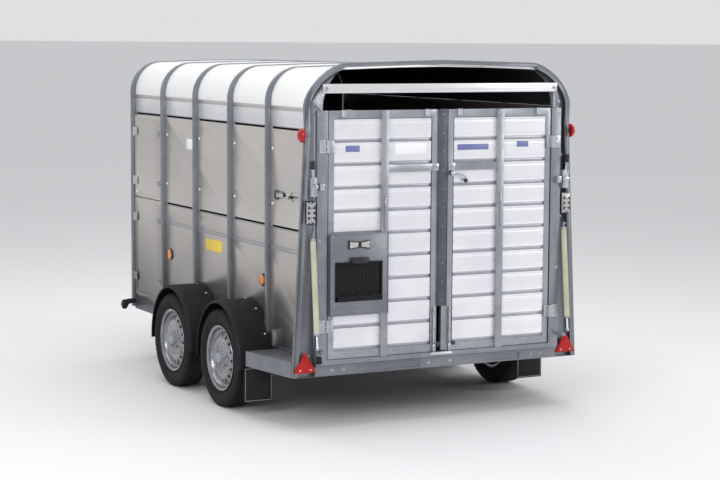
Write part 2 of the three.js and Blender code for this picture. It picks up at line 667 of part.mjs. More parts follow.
// ---------------------------------------------------------------- number plate board
const boardRear = DOOR_REAR - DOOR_PROUD - FIT_GAP - PLATE_PANEL.thick;
const boardX = [-(doorOuter - RUN_GAP), -(doorMid - PLATE_PANEL.over)];
const holderX = (boardX[0] + boardX[1]) / 2 - HOLDER.off;
const holderRear = boardRear - HOLDER.deep;
const board = box(...boardX, boardRear, boardRear + PLATE_PANEL.thick, PLATE_PANEL.z0, PLATE_PANEL.z1);
const holder = box(holderX - HOLDER.half, holderX + HOLDER.half, holderRear, boardRear + 1,
  HOLDER.z0, HOLDER.z1);
const holderHollow = box(holderX - PLATE_HALF, holderX + PLATE_HALF, holderRear - 1, boardRear - 5,
  HOLDER.z0 + 38, HOLDER.z1 - 14);
const plateLamp = box(holderX - PLATE_LAMP.half, holderX + PLATE_LAMP.half, boardRear - PLATE_LAMP.deep,
  boardRear - 6, PLATE_LAMP.z0, PLATE_LAMP.z1);
part("number_plate_board", join(cut(join(board, holder), holderHollow), plateLamp), GALVANISED);

// ---------------------------------------------------------------- door latch and bolts
const leverY = DOOR_REAR - 24;
const leverX = (reach) => DOOR_CENTRE_GAP + reach;
part(
  "door_latch_lever",
  join(
    bentBar(
      [
        [leverX(LEVER.x0 + 4), leverY, LEVER.z],
        [leverX(LEVER.x1), leverY, LEVER.z - 10],
        [leverX(LEVER.x2), leverY, LEVER.z - 40],
      ],
      LEVER.rod,
    ),
    ball([leverX(LEVER.x2), leverY, LEVER.knobZ], LEVER.knob),
    bar([leverX(LEVER.x0), DOOR_REAR - FIT_GAP, LEVER.z], [leverX(LEVER.x0), leverY - 12, LEVER.z],
      LEVER.boss),
  ),
  BLACK,
);
function doorBolt(s) {
  const x = s * (DOOR_CENTRE_GAP + BOLT.x);
  const y = DOOR_REAR - 12;
  const foot = SILL_TOP + RAMP_SILL_HIGH + 2;
  return join(
    bar([x, y, foot], [x, y, BOLT.top], BOLT.rod),
    bar([x, y, BOLT.z], [x, y - 40, BOLT.z], BOLT.rod),
    bar([x, y - 36, BOLT.z], [x, y - BOLT.stand, BOLT.z], BOLT.knob),
  );
}
part("door_bolt_left", doorBolt(-1), BLACK);
part("door_bolt_right", doorBolt(1), BLACK);

// ---------------------------------------------------------------- ramp latches
function rampLatch(s) {
  const x = RAMP_HALF + LATCH.x;
  return join(
    xBox(s, x - 22, x + 16, -40, -4, LATCH_Z - LATCH.half, LATCH_Z + LATCH.half),
    bar([s * x, -30, LATCH_Z + 50], [s * (x + 6), -34, LATCH_Z + 110], LATCH.rod),
    bar([s * (x + 6), -34, LATCH_Z + 104], [s * (x + 8), -36, LATCH_Z + 165], LATCH.grip),
  );
}
part("ramp_latch_left", rampLatch(-1), GALVANISED);
part("ramp_latch_right", rampLatch(1), GALVANISED);

// ---------------------------------------------------------------- ramp balance springs
const springDir = new THREE.Vector2(
  SPRING_FOOT[0] - SPRING_TOP[0],
  SPRING_FOOT[1] - SPRING_TOP[1],
).normalize();
function springSleeve(s) {
  const x = s * SPRING_X;
  const tube = cut(
    bar([x, ...SPRING_TOP], [x, ...SPRING_FOOT], SPRING_RADIUS, 20),
    bar([x, SPRING_TOP[0] + springDir.x * 40, SPRING_TOP[1] + springDir.y * 40],
      [x, SPRING_FOOT[0] + springDir.x * 9, SPRING_FOOT[1] + springDir.y * 9], SPRING_ROD + 3, 20),
  );
  const eye = bar([x, SPRING_TOP[0], SPRING_TOP[1] - 10], [x, SPRING_TOP[0] + 4, SPRING_TOP[1] + 34], 6);
  const pin = bar([x, -FIT_GAP, SPRING_TOP[1] + 28], [x, SPRING_TOP[0] - 4, SPRING_TOP[1] + 28], 7);
  return join(tube, eye, pin);
}
function springRod(s) {
  const x = s * SPRING_X;
  const at = (d) => [x, SPRING_FOOT[0] + springDir.x * d, SPRING_FOOT[1] + springDir.y * d];
  return join(
    bar(at(-320), at(SPRING_ROD_OUT - 10), SPRING_ROD, 12),
    bar(at(SPRING_ROD_OUT - 24), at(SPRING_ROD_OUT), 11, 12),
  );
}
for (const [name, s] of [["left", -1], ["right", 1]]) {
  part("ramp_spring_" + name, springSleeve(s), CREAM);
  part("ramp_spring_rod_" + name, springRod(s), GALVANISED);
}

// ---------------------------------------------------------------- rear top bar
const barMid = (BAR_LOW + BAR_HIGH) / 2;
part(
  "rear_bar",
  join(
    box(-BAR_HALF, BAR_HALF, -22, -6, BAR_LOW, BAR_HIGH),
    bothSides((s) => bar([s * (BAR_HALF - 20), -34, barMid], [s * (BAR_HALF - 20), -20, barMid], 11)),
  ),
  ALUMINIUM,
);

// ---------------------------------------------------------------- lamps and reflectors
function triangle(s) {
  const high = (TRIANGLE.side * Math.sqrt(3)) / 2;
  const cx = s * TRIANGLE.x;
  const half = TRIANGLE.side / 2;
  const corners = [[cx - half, TRIANGLE.z], [cx + half, TRIANGLE.z], [cx, TRIANGLE.z + high]];
  return alongY(corners, -TRIANGLE.deep, -FIT_GAP);
}
for (const [name, s] of [["left", -1], ["right", 1]]) {
  part(
    "rear_lamp_" + name,
    xBox(s, LAMP.x - LAMP.wide / 2, LAMP.x + LAMP.wide / 2, -LAMP.deep, -FIT_GAP,
      LAMP.z - LAMP.high / 2, LAMP.z + LAMP.high / 2),
    RED,
  );
  part("triangle_reflector_" + name, triangle(s), RED);
}

// ---------------------------------------------------------------- axles, wheels, mudguards
// A leaf spring bowed down over its axle, hung at both ends from the main rail.
function leaf(s, y) {
  const bed = TYRE_RADIUS - LEAF_DROP;
  const steps = 8;
  const outer = [];
  const inner = [];
  for (let i = 0; i <= steps; i += 1) {
    const u = -1 + (2 * i) / steps;
    const z = bed + LEAF_RISE * u * u;
    outer.push([y + u * LEAF_HALF, z]);
    inner.push([y + u * LEAF_HALF, z + (Math.abs(u) > 0.8 ? 9 : 26)]);
  }
  const x0 = s * MAIN_RAIL_X - LEAF_WIDTH / 2;
  const hangers = [-1, 1].map((end) => {
    const middle = y + end * (LEAF_HALF - HANGER_LONG / 2);
    return box(x0, x0 + LEAF_WIDTH, middle - HANGER_LONG / 2, middle + HANGER_LONG / 2,
      bed + LEAF_RISE - 12, RAIL_LOW - FIT_GAP);
  });
  return join(alongX([...outer, ...inner.reverse()], x0, x0 + LEAF_WIDTH), hangers);
}
// A mudguard's outline: half an ellipse over the wheel with straight legs below it.
function guardLoop(y, thick, steps = 20) {
  const line = (inset) => {
    const arch = Array.from({ length: steps + 1 }, (_, k) => {
      const t = (Math.PI * k) / steps;
      return [y + (GUARD_HALF - inset) * Math.cos(t), TYRE_RADIUS + (GUARD_HIGH - inset) * Math.sin(t)];
    });
    const leg = GUARD_HALF - inset;
    return [[y + leg, GUARD_FOOT_Z], ...arch, [y - leg, GUARD_FOOT_Z]];
  };
  return between(line(0), line(thick));
}
AXLE_Y.forEach((y, i) => {
  const z = TYRE_RADIUS;
  const parts = [box(-WHEEL_X + 130, WHEEL_X - 130, y - 30, y + 30, z - 30, z + 30)];
  for (const s of [-1, 1]) {
    parts.push(leaf(s, y));
    parts.push(xBox(s, MAIN_RAIL_X - 38, MAIN_RAIL_X + 38, y - 45, y + 45, z - LEAF_DROP - 2, z - 28));
    const drum = [
      [20, -s * DRUM_BACK], [DRUM_RADIUS, -s * DRUM_BACK], [DRUM_RADIUS, -s * 42],
      [DRUM_RADIUS - 9, -s * 42], [DRUM_RADIUS - 9, -s * (DRUM_BACK - 9)], [20, -s * (DRUM_BACK - 9)],
    ];
    parts.push(turnedX(drum, [s * WHEEL_X, y, z], 24));
    parts.push(bar([s * (WHEEL_X - 140), y, z], [s * (WHEEL_X - 26), y, z], 24));
  }
  part(i ? "axle_front" : "axle_rear", join(parts), GALVANISED);
  for (const [side, s] of [["left", -1], ["right", 1]]) {
    const tag = (i ? "front_" : "rear_") + side;
    const w = TYRE_WIDTH / 2;
    const wallAt = (share) => RIM_RADIUS + share * (TYRE_RADIUS - RIM_RADIUS);
    const half = [
      [RIM_RADIUS + FIT_GAP, 56], [wallAt(0.19), 66], [wallAt(0.455), w], [wallAt(0.735), w - 2],
      [TYRE_RADIUS - 8, 72], [TYRE_RADIUS, 52],
    ];
    const tyre = [...half, ...half.map(([r, o]) => [r, -o]).reverse()];
    part("tyre_" + tag, turnedX(tyre, [s * WHEEL_X, y, z], WHEEL_SIDES), RUBBER);
    const rim = [
      [RIM_FLANGE, -RIM_HALF], [RIM_FLANGE, -68], [RIM_RADIUS, -66], [RIM_RADIUS, 66],
      [RIM_FLANGE, 68], [RIM_FLANGE, RIM_HALF], [RIM_RADIUS - 6, 71], [RIM_RADIUS - 10, 34],
      [150, 46], [90, 60], [46, 58], [34, 86], [0, 88], [0, -18],
      [62, -18], [90, 48], [150, 36], [RIM_RADIUS - 6, 22], [RIM_RADIUS - 6, -RIM_HALF],
    ].map(([r, o]) => [r, s * o]);
    part("rim_" + tag, turnedX(rim, [s * WHEEL_X, y, z], WHEEL_SIDES), SILVER);
    const guardRoot = PANEL_HALF + HOOP_SHEET + 1;
    const shell = alongX(guardLoop(y, GUARD_SHEET),
      s > 0 ? guardRoot : -GUARD_OUT, s > 0 ? GUARD_OUT : -guardRoot);
    const lip = alongX(guardLoop(y, GUARD_LIP),
      s > 0 ? GUARD_OUT - 5 : -GUARD_OUT, s > 0 ? GUARD_OUT : -GUARD_OUT + 5);
    const notches = Array.from({ length: HOOP_COUNT }, (_, k) =>
      xBox(s, PANEL_HALF, hoopHalf + 1.5, hoopY(k) - 1.5, hoopY(k) + HOOP_WEB + 1.5,
        GUARD_FOOT_Z - 1, FLOOR_TOP + GUARD_HIGH),
    );
    part("mudguard_" + tag, join(cut(shell, notches), lip), BLACK);
  }
});
for (const [name, s] of [["left", -1], ["right", 1]]) {
  part(
    "mud_flap_" + name,
    xBox(s, FLAP.x0, FLAP.x1, trayFront + 1, trayFront + 1 + FLAP.thick, FLAP.z0, FLAP.z1),
    RUBBER,
  );
}

// ---------------------------------------------------------------- drawbar and coupling
const barTop = RAIL_LOW - FIT_GAP;
const noseY = bodyFront + DRAWBAR_REACH;
function drawbarRail(s) {
  const rootY = bodyFront - DRAWBAR_ROOT;
  const w = DRAWBAR_BAR;
  const plan = (inset) => [
    [s * (DRAWBAR_SPLAY - inset), rootY - inset], [s * (DRAWBAR_SPLAY + w - inset), rootY - inset],
    [s * (DRAWBAR_SPLAY + w - inset), bodyFront - 60], [s * (DRAWBAR_NOSE - inset), noseY + inset],
    [s * (DRAWBAR_NOSE - w - inset), noseY + inset], [s * (DRAWBAR_SPLAY - inset), bodyFront - 90],
  ];
  const web = 7;
  return cut(
    alongZ(plan(0), DRAWBAR_LOW, barTop),
    alongZ(plan(web), DRAWBAR_LOW + web, barTop - web),
  );
}
const nosePlate = box(-DRAWBAR_NOSE - 30, DRAWBAR_NOSE + 30, noseY - 260, noseY, barTop - 8, barTop);
const tieBar = box(-DRAWBAR_SPLAY, DRAWBAR_SPLAY, bodyFront - 200, bodyFront - 140, DRAWBAR_LOW + 5, barTop);
part("drawbar", join(drawbarRail(-1), drawbarRail(1), nosePlate, tieBar), GALVANISED);

const cupY = noseY + COUPLING_LENGTH * 0.62;
const cupZ = barTop + 60;
part(
  "coupling_body",
  join(
    box(-42, 42, noseY - 220, noseY - 4, barTop + FIT_GAP, barTop + 46),
    bar([0, noseY - 150, cupZ], [0, cupY, cupZ], 30, 20),
    ball([0, cupY, cupZ], 42, 20),
    box(-10, 10, cupY - 4, cupY + 18, cupZ + 20, cupZ + 50 - FIT_GAP),
  ),
  BLACK,
);
part(
  "coupling_handle",
  join(
    box(-14, 14, cupY - 140, cupY + 20, cupZ + 50, cupZ + 62),
    bar([-30, cupY - 130, cupZ + 56], [30, cupY - 130, cupZ + 56], 13),
  ),
  SILVER,
);
const brakeY = noseY - BRAKE.back;
const brakeZ = barTop + BRAKE.rise;
const brakeAt = (ahead, up) => [BRAKE.x, brakeY + ahead, brakeZ + up];
part(
  "brake_lever",
  join(
    bar([BRAKE.x - 12, brakeY, brakeZ], [BRAKE.x + 12, brakeY, brakeZ], 26),
    bentBar([brakeAt(0, 0), brakeAt(90, 220), brakeAt(100, 330)], BRAKE.rod),
    bar(brakeAt(97, 290), brakeAt(104, 400), BRAKE.grip),
  ),
  BLACK,
);

// ---------------------------------------------------------------- jockey wheel
const jockeyY = noseY - JOCKEY_BACK;
const legRadius = JOCKEY_TUBE - 5.6;
const clampOut = JOCKEY_TUBE + 6;
const post = (z0, z1, radius, sides = 20) =>
  bar([JOCKEY_X, jockeyY, z0], [JOCKEY_X, jockeyY, z1], radius, sides);
const aboutLeg = (x0, x1, halfY, z0, z1) =>
  box(JOCKEY_X + x0, JOCKEY_X + x1, jockeyY - halfY, jockeyY + halfY, z0, z1);
part(
  "jockey_tube",
  join(
    cut(
      post(JOCKEY_TUBE_FOOT, JOCKEY_TUBE_TOP, JOCKEY_TUBE),
      post(JOCKEY_TUBE_FOOT - 12, JOCKEY_TUBE_TOP - 12, JOCKEY_TUBE - 5),
    ),
    cut(
      box(JOCKEY_X - clampOut, -DRAWBAR_NOSE, jockeyY - 26, jockeyY + 26, barTop + FIT_GAP, barTop + 56),
      post(DRAWBAR_LOW, JOCKEY_TUBE_TOP + 40, JOCKEY_TUBE - 3),
    ),
  ),
  GALVANISED,
);
const forkHalf = JOCKEY_HALF + 8;
part(
  "jockey_leg",
  join(
    post(JOCKEY_FORK_Z - 2, 600, legRadius),
    aboutLeg(-forkHalf, forkHalf, 24, JOCKEY_FORK_Z - 8, JOCKEY_FORK_Z),
    [-1, 1].map((s) => aboutLeg(s * (forkHalf - 6), s * forkHalf, 20, JOCKEY_WHEEL - 20, JOCKEY_FORK_Z)),
    bar([JOCKEY_X - forkHalf + 2, jockeyY, JOCKEY_WHEEL],
      [JOCKEY_X + forkHalf - 2, jockeyY, JOCKEY_WHEEL], 8),
  ),
  SILVER,
);
const rollerHalf = [
  [8.6, JOCKEY_HALF], [60, JOCKEY_HALF], [60, JOCKEY_HALF - 4], [JOCKEY_WHEEL - 8, JOCKEY_HALF - 2],
  [JOCKEY_WHEEL, JOCKEY_HALF - 10],
];
const roller = [...rollerHalf, ...rollerHalf.map(([r, o]) => [r, -o]).reverse()];
part("jockey_wheel", turnedX(roller, [JOCKEY_X, jockeyY, JOCKEY_WHEEL], 36), RUBBER);
const crankZ = JOCKEY_TUBE_TOP + CRANK_RISE;
part(
  "jockey_crank",
  bentBar(
    [
      [JOCKEY_X, jockeyY, JOCKEY_TUBE_TOP + 1],
      [JOCKEY_X, jockeyY, crankZ],
      [JOCKEY_X, jockeyY - CRANK_REACH, crankZ],
      [JOCKEY_X, jockeyY - CRANK_REACH, crankZ + CRANK_GRIP],
    ],
    8,
    12,
  ),
  BLACK,
);

// ---------------------------------------------------------------- the origin: centre of the footprint
const extent = new THREE.Box3().setFromObject(root);
for (const mesh of root.children) {
  mesh.geometry.translate(0, -(extent.min.y + extent.max.y) / 2, -extent.min.z);
}

export default root;
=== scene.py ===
"""Finishes, fine surfaces and fittings of a twin-axle livestock trailer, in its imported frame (metres)."""
import json
import logging
import math
from dataclasses import dataclass, field
from enum import Enum
from typing import Callable, Iterable, Sequence

import bmesh
import bpy
from mathutils import Matrix, Vector


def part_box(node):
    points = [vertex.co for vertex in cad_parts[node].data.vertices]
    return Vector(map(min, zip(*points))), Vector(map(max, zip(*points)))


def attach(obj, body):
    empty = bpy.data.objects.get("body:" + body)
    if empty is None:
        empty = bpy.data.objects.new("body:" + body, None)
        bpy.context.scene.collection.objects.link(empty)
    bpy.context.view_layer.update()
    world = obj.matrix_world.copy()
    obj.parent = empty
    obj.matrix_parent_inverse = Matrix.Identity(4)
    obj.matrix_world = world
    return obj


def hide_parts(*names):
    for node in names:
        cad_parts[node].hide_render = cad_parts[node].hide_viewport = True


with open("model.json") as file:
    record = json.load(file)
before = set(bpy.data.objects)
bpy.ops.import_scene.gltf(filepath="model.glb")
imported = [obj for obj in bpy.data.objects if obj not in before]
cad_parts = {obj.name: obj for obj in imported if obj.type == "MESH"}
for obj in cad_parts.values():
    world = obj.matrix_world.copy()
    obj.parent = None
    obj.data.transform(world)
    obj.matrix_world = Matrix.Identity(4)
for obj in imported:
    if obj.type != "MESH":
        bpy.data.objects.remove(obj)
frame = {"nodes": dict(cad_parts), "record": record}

LOG = logging.getLogger("livestock_trailer")
Point = Sequence[float]
Colour = tuple[float, float, float, float]
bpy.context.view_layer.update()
REAR_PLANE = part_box("rear_frame")[0].y
SIDES = (("left", -1.0), ("right", 1.0))
BODY_OF = {node: body for body, nodes in frame["record"]["behaviour"]["bodies"].items() for node in nodes}
SLOT_OF = {part["node"]: part["material_slot"] for part in frame["record"]["subparts"]}
UP = (0.0, 0.0, 1.0)
REARWARD = (0.0, -1.0, 0.0)


def forward(distance: float) -> float:
    """Gives the Y of a place measured forward from the rear plane of the body."""
    return REAR_PLANE + distance


def srgb(red: int, green: int, blue: int) -> Colour:
    """Turns display values of 0 to 255 into linear light.

    Args:
        red: Red, 0 to 255.
        green: Green, 0 to 255.
        blue: Blue, 0 to 255.

    Returns:
        The colour with an opaque alpha.
    """
    def linear(value: int) -> float:
        """Turns one display value into linear light."""
        share = value / 255.0
        return share / 12.92 if share <= 0.04045 else ((share + 0.055) / 1.055) ** 2.4

    return (linear(red), linear(green), linear(blue), 1.0)


# ------------------------------------------------------------------ finishes
class Grain(Enum):
    """The fine pattern that a finish carries."""

    SPANGLE = "zinc crystals"
    ROLLED = "fine lines along the sheet"
    MOULDED = "leathery moulding grain"
    SPECKLE = "fine stipple"
    PRISM = "moulded reflecting cells"


@dataclass(frozen=True)
class Finish:
    """One surface finish.

    Attributes:
        name: The material's name.
        colour: Its main colour.
        shade: The colour of its patches.
        metallic: Share of metal.
        roughness: Middle roughness.
        grain: Its fine pattern.
        cells: Pattern cells per metre.
        bump: Strength of the relief.
        spread: How far roughness varies each way.
        patches: Patches per metre.
        dust_and_shade: Share of road dust and painted shade low down.
        coat: Clear coat weight.
        transmission: Share of light let through.
        stretch: Scale of the pattern along X, Y and Z.
        fade: How much painted shade darkens the finish towards the ground.
        depth: How much darker the pattern's low side is.
        specular: Strength of the plain reflection.
    """

    name: str
    colour: Colour
    shade: Colour
    metallic: float
    roughness: float
    grain: Grain
    cells: float = 120.0
    bump: float = 0.12
    spread: float = 0.08
    patches: float = 2.5
    dust_and_shade: float = 0.0
    coat: float = 0.0
    transmission: float = 0.0
    stretch: tuple[float, float, float] = (1.0, 1.0, 1.0)
    fade: float = 0.0
    depth: float = 0.18
    specular: float = 0.5


GALVANISED = Finish("galvanised_steel", srgb(168, 172, 178), srgb(142, 147, 154), 0.75, 0.4, Grain.SPANGLE,
                    cells=95.0, bump=0.04, spread=0.1, patches=5.0, dust_and_shade=0.1)
HOOP_METAL = Finish("hoop_metal", srgb(138, 142, 149), srgb(118, 123, 130), 0.7, 0.38, Grain.SPANGLE,
                    cells=110.0, bump=0.03, spread=0.08, patches=4.0, dust_and_shade=0.06, fade=0.25)
DARK_ZINC = Finish("weathered_zinc", srgb(96, 100, 108), srgb(80, 84, 92), 0.7, 0.5, Grain.SPANGLE,
                   cells=80.0, bump=0.05, spread=0.1, patches=6.0, dust_and_shade=0.1)
BRIGHT_ZINC = Finish("bright_zinc", srgb(196, 199, 203), srgb(176, 180, 185), 0.7, 0.34, Grain.SPECKLE,
                     cells=160.0, bump=0.03, spread=0.08, patches=8.0)
# Darker copy of the galvanised finish: on the rear frame its lower tone is painted shade of the recessed
# wings.
FRAME_ZINC = Finish("rear_frame_zinc", srgb(140, 144, 150), srgb(120, 124, 131), 0.75, 0.4, Grain.SPANGLE,
                    cells=95.0, bump=0.04, spread=0.1, patches=4.0, dust_and_shade=0.05, fade=0.12)
POST_ZINC = Finish("post_zinc", srgb(150, 154, 160), srgb(126, 131, 138), 0.75, 0.4, Grain.SPANGLE,
                   cells=95.0, bump=0.04, spread=0.1, patches=5.0, dust_and_shade=0.08)
# The side panels darken strongly towards the ground: painted shade.
PANEL = Finish("side_panel_aluminium", srgb(212, 207, 203), srgb(205, 200, 195), 0.82, 0.3, Grain.ROLLED,
               cells=60.0, bump=0.008, spread=0.025, patches=1.1, dust_and_shade=0.12, stretch=(1.0, 0.12, 8.0),
               fade=0.85)
PLANK = Finish("ribbed_plank_aluminium", srgb(240, 239, 242), srgb(226, 226, 231), 0.5, 0.33, Grain.ROLLED,
               cells=70.0, bump=0.02, spread=0.08, patches=3.0, dust_and_shade=0.04, stretch=(0.1, 1.0, 6.0))
# Darker strip on the set-back ledge under each plank: painted shade.
LEDGE_SHADE = Finish("plank_ledge_shade", srgb(176, 177, 183), srgb(160, 161, 168), 0.6, 0.36, Grain.ROLLED,
               cells=70.0, bump=0.02, spread=0.06, patches=4.0, stretch=(0.1, 1.0, 6.0))
LIP_SHADOW = Finish("plank_lip_shadow", srgb(92, 93, 98), srgb(80, 81, 86), 0.3, 0.5, Grain.ROLLED,
                    cells=70.0, bump=0.01, patches=6.0)
BRIGHT = Finish("bright_aluminium", srgb(232, 232, 234), srgb(214, 215, 218), 0.6, 0.33, Grain.ROLLED,
                cells=80.0, bump=0.02, spread=0.08, stretch=(0.1, 1.0, 4.0))
ROOF = Finish("white_roof_moulding", srgb(238, 238, 236), srgb(230, 231, 230), 0.0, 0.34, Grain.SPECKLE,
              cells=240.0, bump=0.01, spread=0.05, patches=1.0, coat=0.3)
# Near-black sheet inside the body: painted shade of the unlit interior.
INTERIOR_SHADE = Finish("interior_painted_shade", srgb(40, 41, 44), srgb(32, 33, 36), 0.0, 0.85, Grain.SPECKLE,
               cells=200.0, bump=0.04)
FLOOR_MAT = Finish("studded_floor_mat", srgb(70, 68, 66), srgb(54, 53, 52), 0.0, 0.8, Grain.MOULDED,
                   cells=90.0, bump=0.3, dust_and_shade=0.3)
BLACK_METAL = Finish("black_coated_metal", srgb(22, 23, 26), srgb(15, 16, 18), 0.1, 0.42, Grain.SPECKLE,
                     cells=420.0, bump=0.05)
KNOB = Finish("black_knob", srgb(24, 25, 28), srgb(18, 18, 20), 0.0, 0.22, Grain.SPECKLE,
              cells=300.0, bump=0.02, coat=0.5)
PLATED = Finish("bright_plated_steel", srgb(196, 198, 202), srgb(176, 179, 184), 0.95, 0.25, Grain.SPECKLE,
                cells=260.0, bump=0.03)
SLEEVE = Finish("spring_sleeve", srgb(190, 190, 166), srgb(172, 172, 146), 0.0, 0.38, Grain.SPECKLE,
                cells=180.0, bump=0.04, patches=9.0)
TYRE = Finish("tyre_rubber", srgb(24, 24, 26), srgb(17, 17, 19), 0.0, 0.75, Grain.MOULDED,
              cells=260.0, bump=0.1, patches=12.0, dust_and_shade=0.07, specular=0.25)
RUBBER = Finish("black_rubber", srgb(30, 31, 33), srgb(22, 23, 25), 0.0, 0.7, Grain.MOULDED,
                cells=300.0, bump=0.1, dust_and_shade=0.05, specular=0.3)
MATT_BLACK = Finish("matt_black_moulding", srgb(15, 16, 18), srgb(10, 11, 13), 0.0, 0.6, Grain.MOULDED,
                    cells=380.0, bump=0.08, specular=0.25)
GUARD = Finish("mudguard_moulding", srgb(24, 25, 27), srgb(18, 19, 21), 0.0, 0.56, Grain.MOULDED,
               cells=420.0, bump=0.12, patches=5.0, dust_and_shade=0.03, specular=0.22)
RIM_PAINT = Finish("silver_wheel_paint", srgb(158, 160, 165), srgb(118, 120, 126), 0.88, 0.24,
                   Grain.SPECKLE, cells=500.0, bump=0.03, patches=9.0, dust_and_shade=0.1, coat=0.3)
HUB_CAP = Finish("hub_cap_plastic", srgb(160, 163, 168), srgb(140, 143, 148), 0.2, 0.4, Grain.SPECKLE,
                 cells=300.0, bump=0.03)
RED = Finish("red_reflector", srgb(206, 10, 10), srgb(158, 4, 4), 0.0, 0.3, Grain.PRISM,
             cells=330.0, bump=0.4, coat=0.15, depth=0.4, specular=0.3)
RED_LENS = Finish("red_lens", srgb(196, 12, 12), srgb(150, 4, 4), 0.0, 0.2, Grain.PRISM,
                  cells=160.0, bump=0.2, coat=0.25, depth=0.4, specular=0.35)
AMBER = Finish("amber_lens", srgb(236, 138, 20), srgb(214, 112, 10), 0.0, 0.14, Grain.PRISM,
               cells=260.0, bump=0.35, coat=0.9)
CLEAR_LENS = Finish("clear_lamp_lens", srgb(222, 222, 220), srgb(150, 150, 150), 0.25, 0.16, Grain.PRISM,
                    cells=62.0, bump=0.5, coat=0.6, depth=0.85)
LAMP_BASE = Finish("lamp_base", srgb(30, 31, 34), srgb(22, 23, 25), 0.0, 0.35, Grain.MOULDED,
                   cells=500.0, bump=0.06)
LABEL_YELLOW = Finish("yellow_label", srgb(236, 206, 62), srgb(224, 190, 50), 0.0, 0.4, Grain.SPECKLE,
                      cells=300.0, bump=0.02)
LABEL_WHITE = Finish("white_label", srgb(240, 241, 243), srgb(228, 230, 234), 0.0, 0.4, Grain.SPECKLE,
                     cells=300.0, bump=0.02)
LABEL_BLUE = Finish("blue_label", srgb(112, 122, 172), srgb(98, 108, 160), 0.0, 0.4, Grain.SPECKLE,
                    cells=300.0, bump=0.02)
WHITE_HEAD = Finish("white_screw_head", srgb(232, 232, 230), srgb(214, 214, 212), 0.0, 0.35, Grain.SPECKLE,
                    cells=500.0, bump=0.02)
ZINC_BOLT = Finish("zinc_bolt", srgb(186, 188, 192), srgb(160, 163, 168), 0.85, 0.32, Grain.SPECKLE,
                   cells=400.0, bump=0.04)
DARK_GAP = Finish("shadowed_recess", srgb(26, 27, 29), srgb(20, 21, 22), 0.0, 0.8, Grain.SPECKLE)
# Colour of road dust, which also stands in for painted shade low down.
DUST_AND_SHADE_COLOUR = srgb(116, 106, 94)
# Colour of the painted shade that darkens some finishes towards the ground.
GROUND_SHADE_COLOUR = srgb(90, 88, 85)

SLOT_FINISH = {
    "galvanised": GALVANISED,
    "body_panel": PANEL,
    "door_plank": PLANK,
    "bar_aluminium": BRIGHT,
    "roof_white": ROOF,
    "deck": FLOOR_MAT,
    "black_metal": BLACK_METAL,
    "bright_metal": PLATED,
    "spring_sleeve": SLEEVE,
    "lamp": CLEAR_LENS,
    "reflector_red": RED,
    "tyre": TYRE,
    "rim_silver": RIM_PAINT,
    "mudguard_black": GUARD,
    "flap_rubber": RUBBER,
    "jockey_tyre": RUBBER,
}


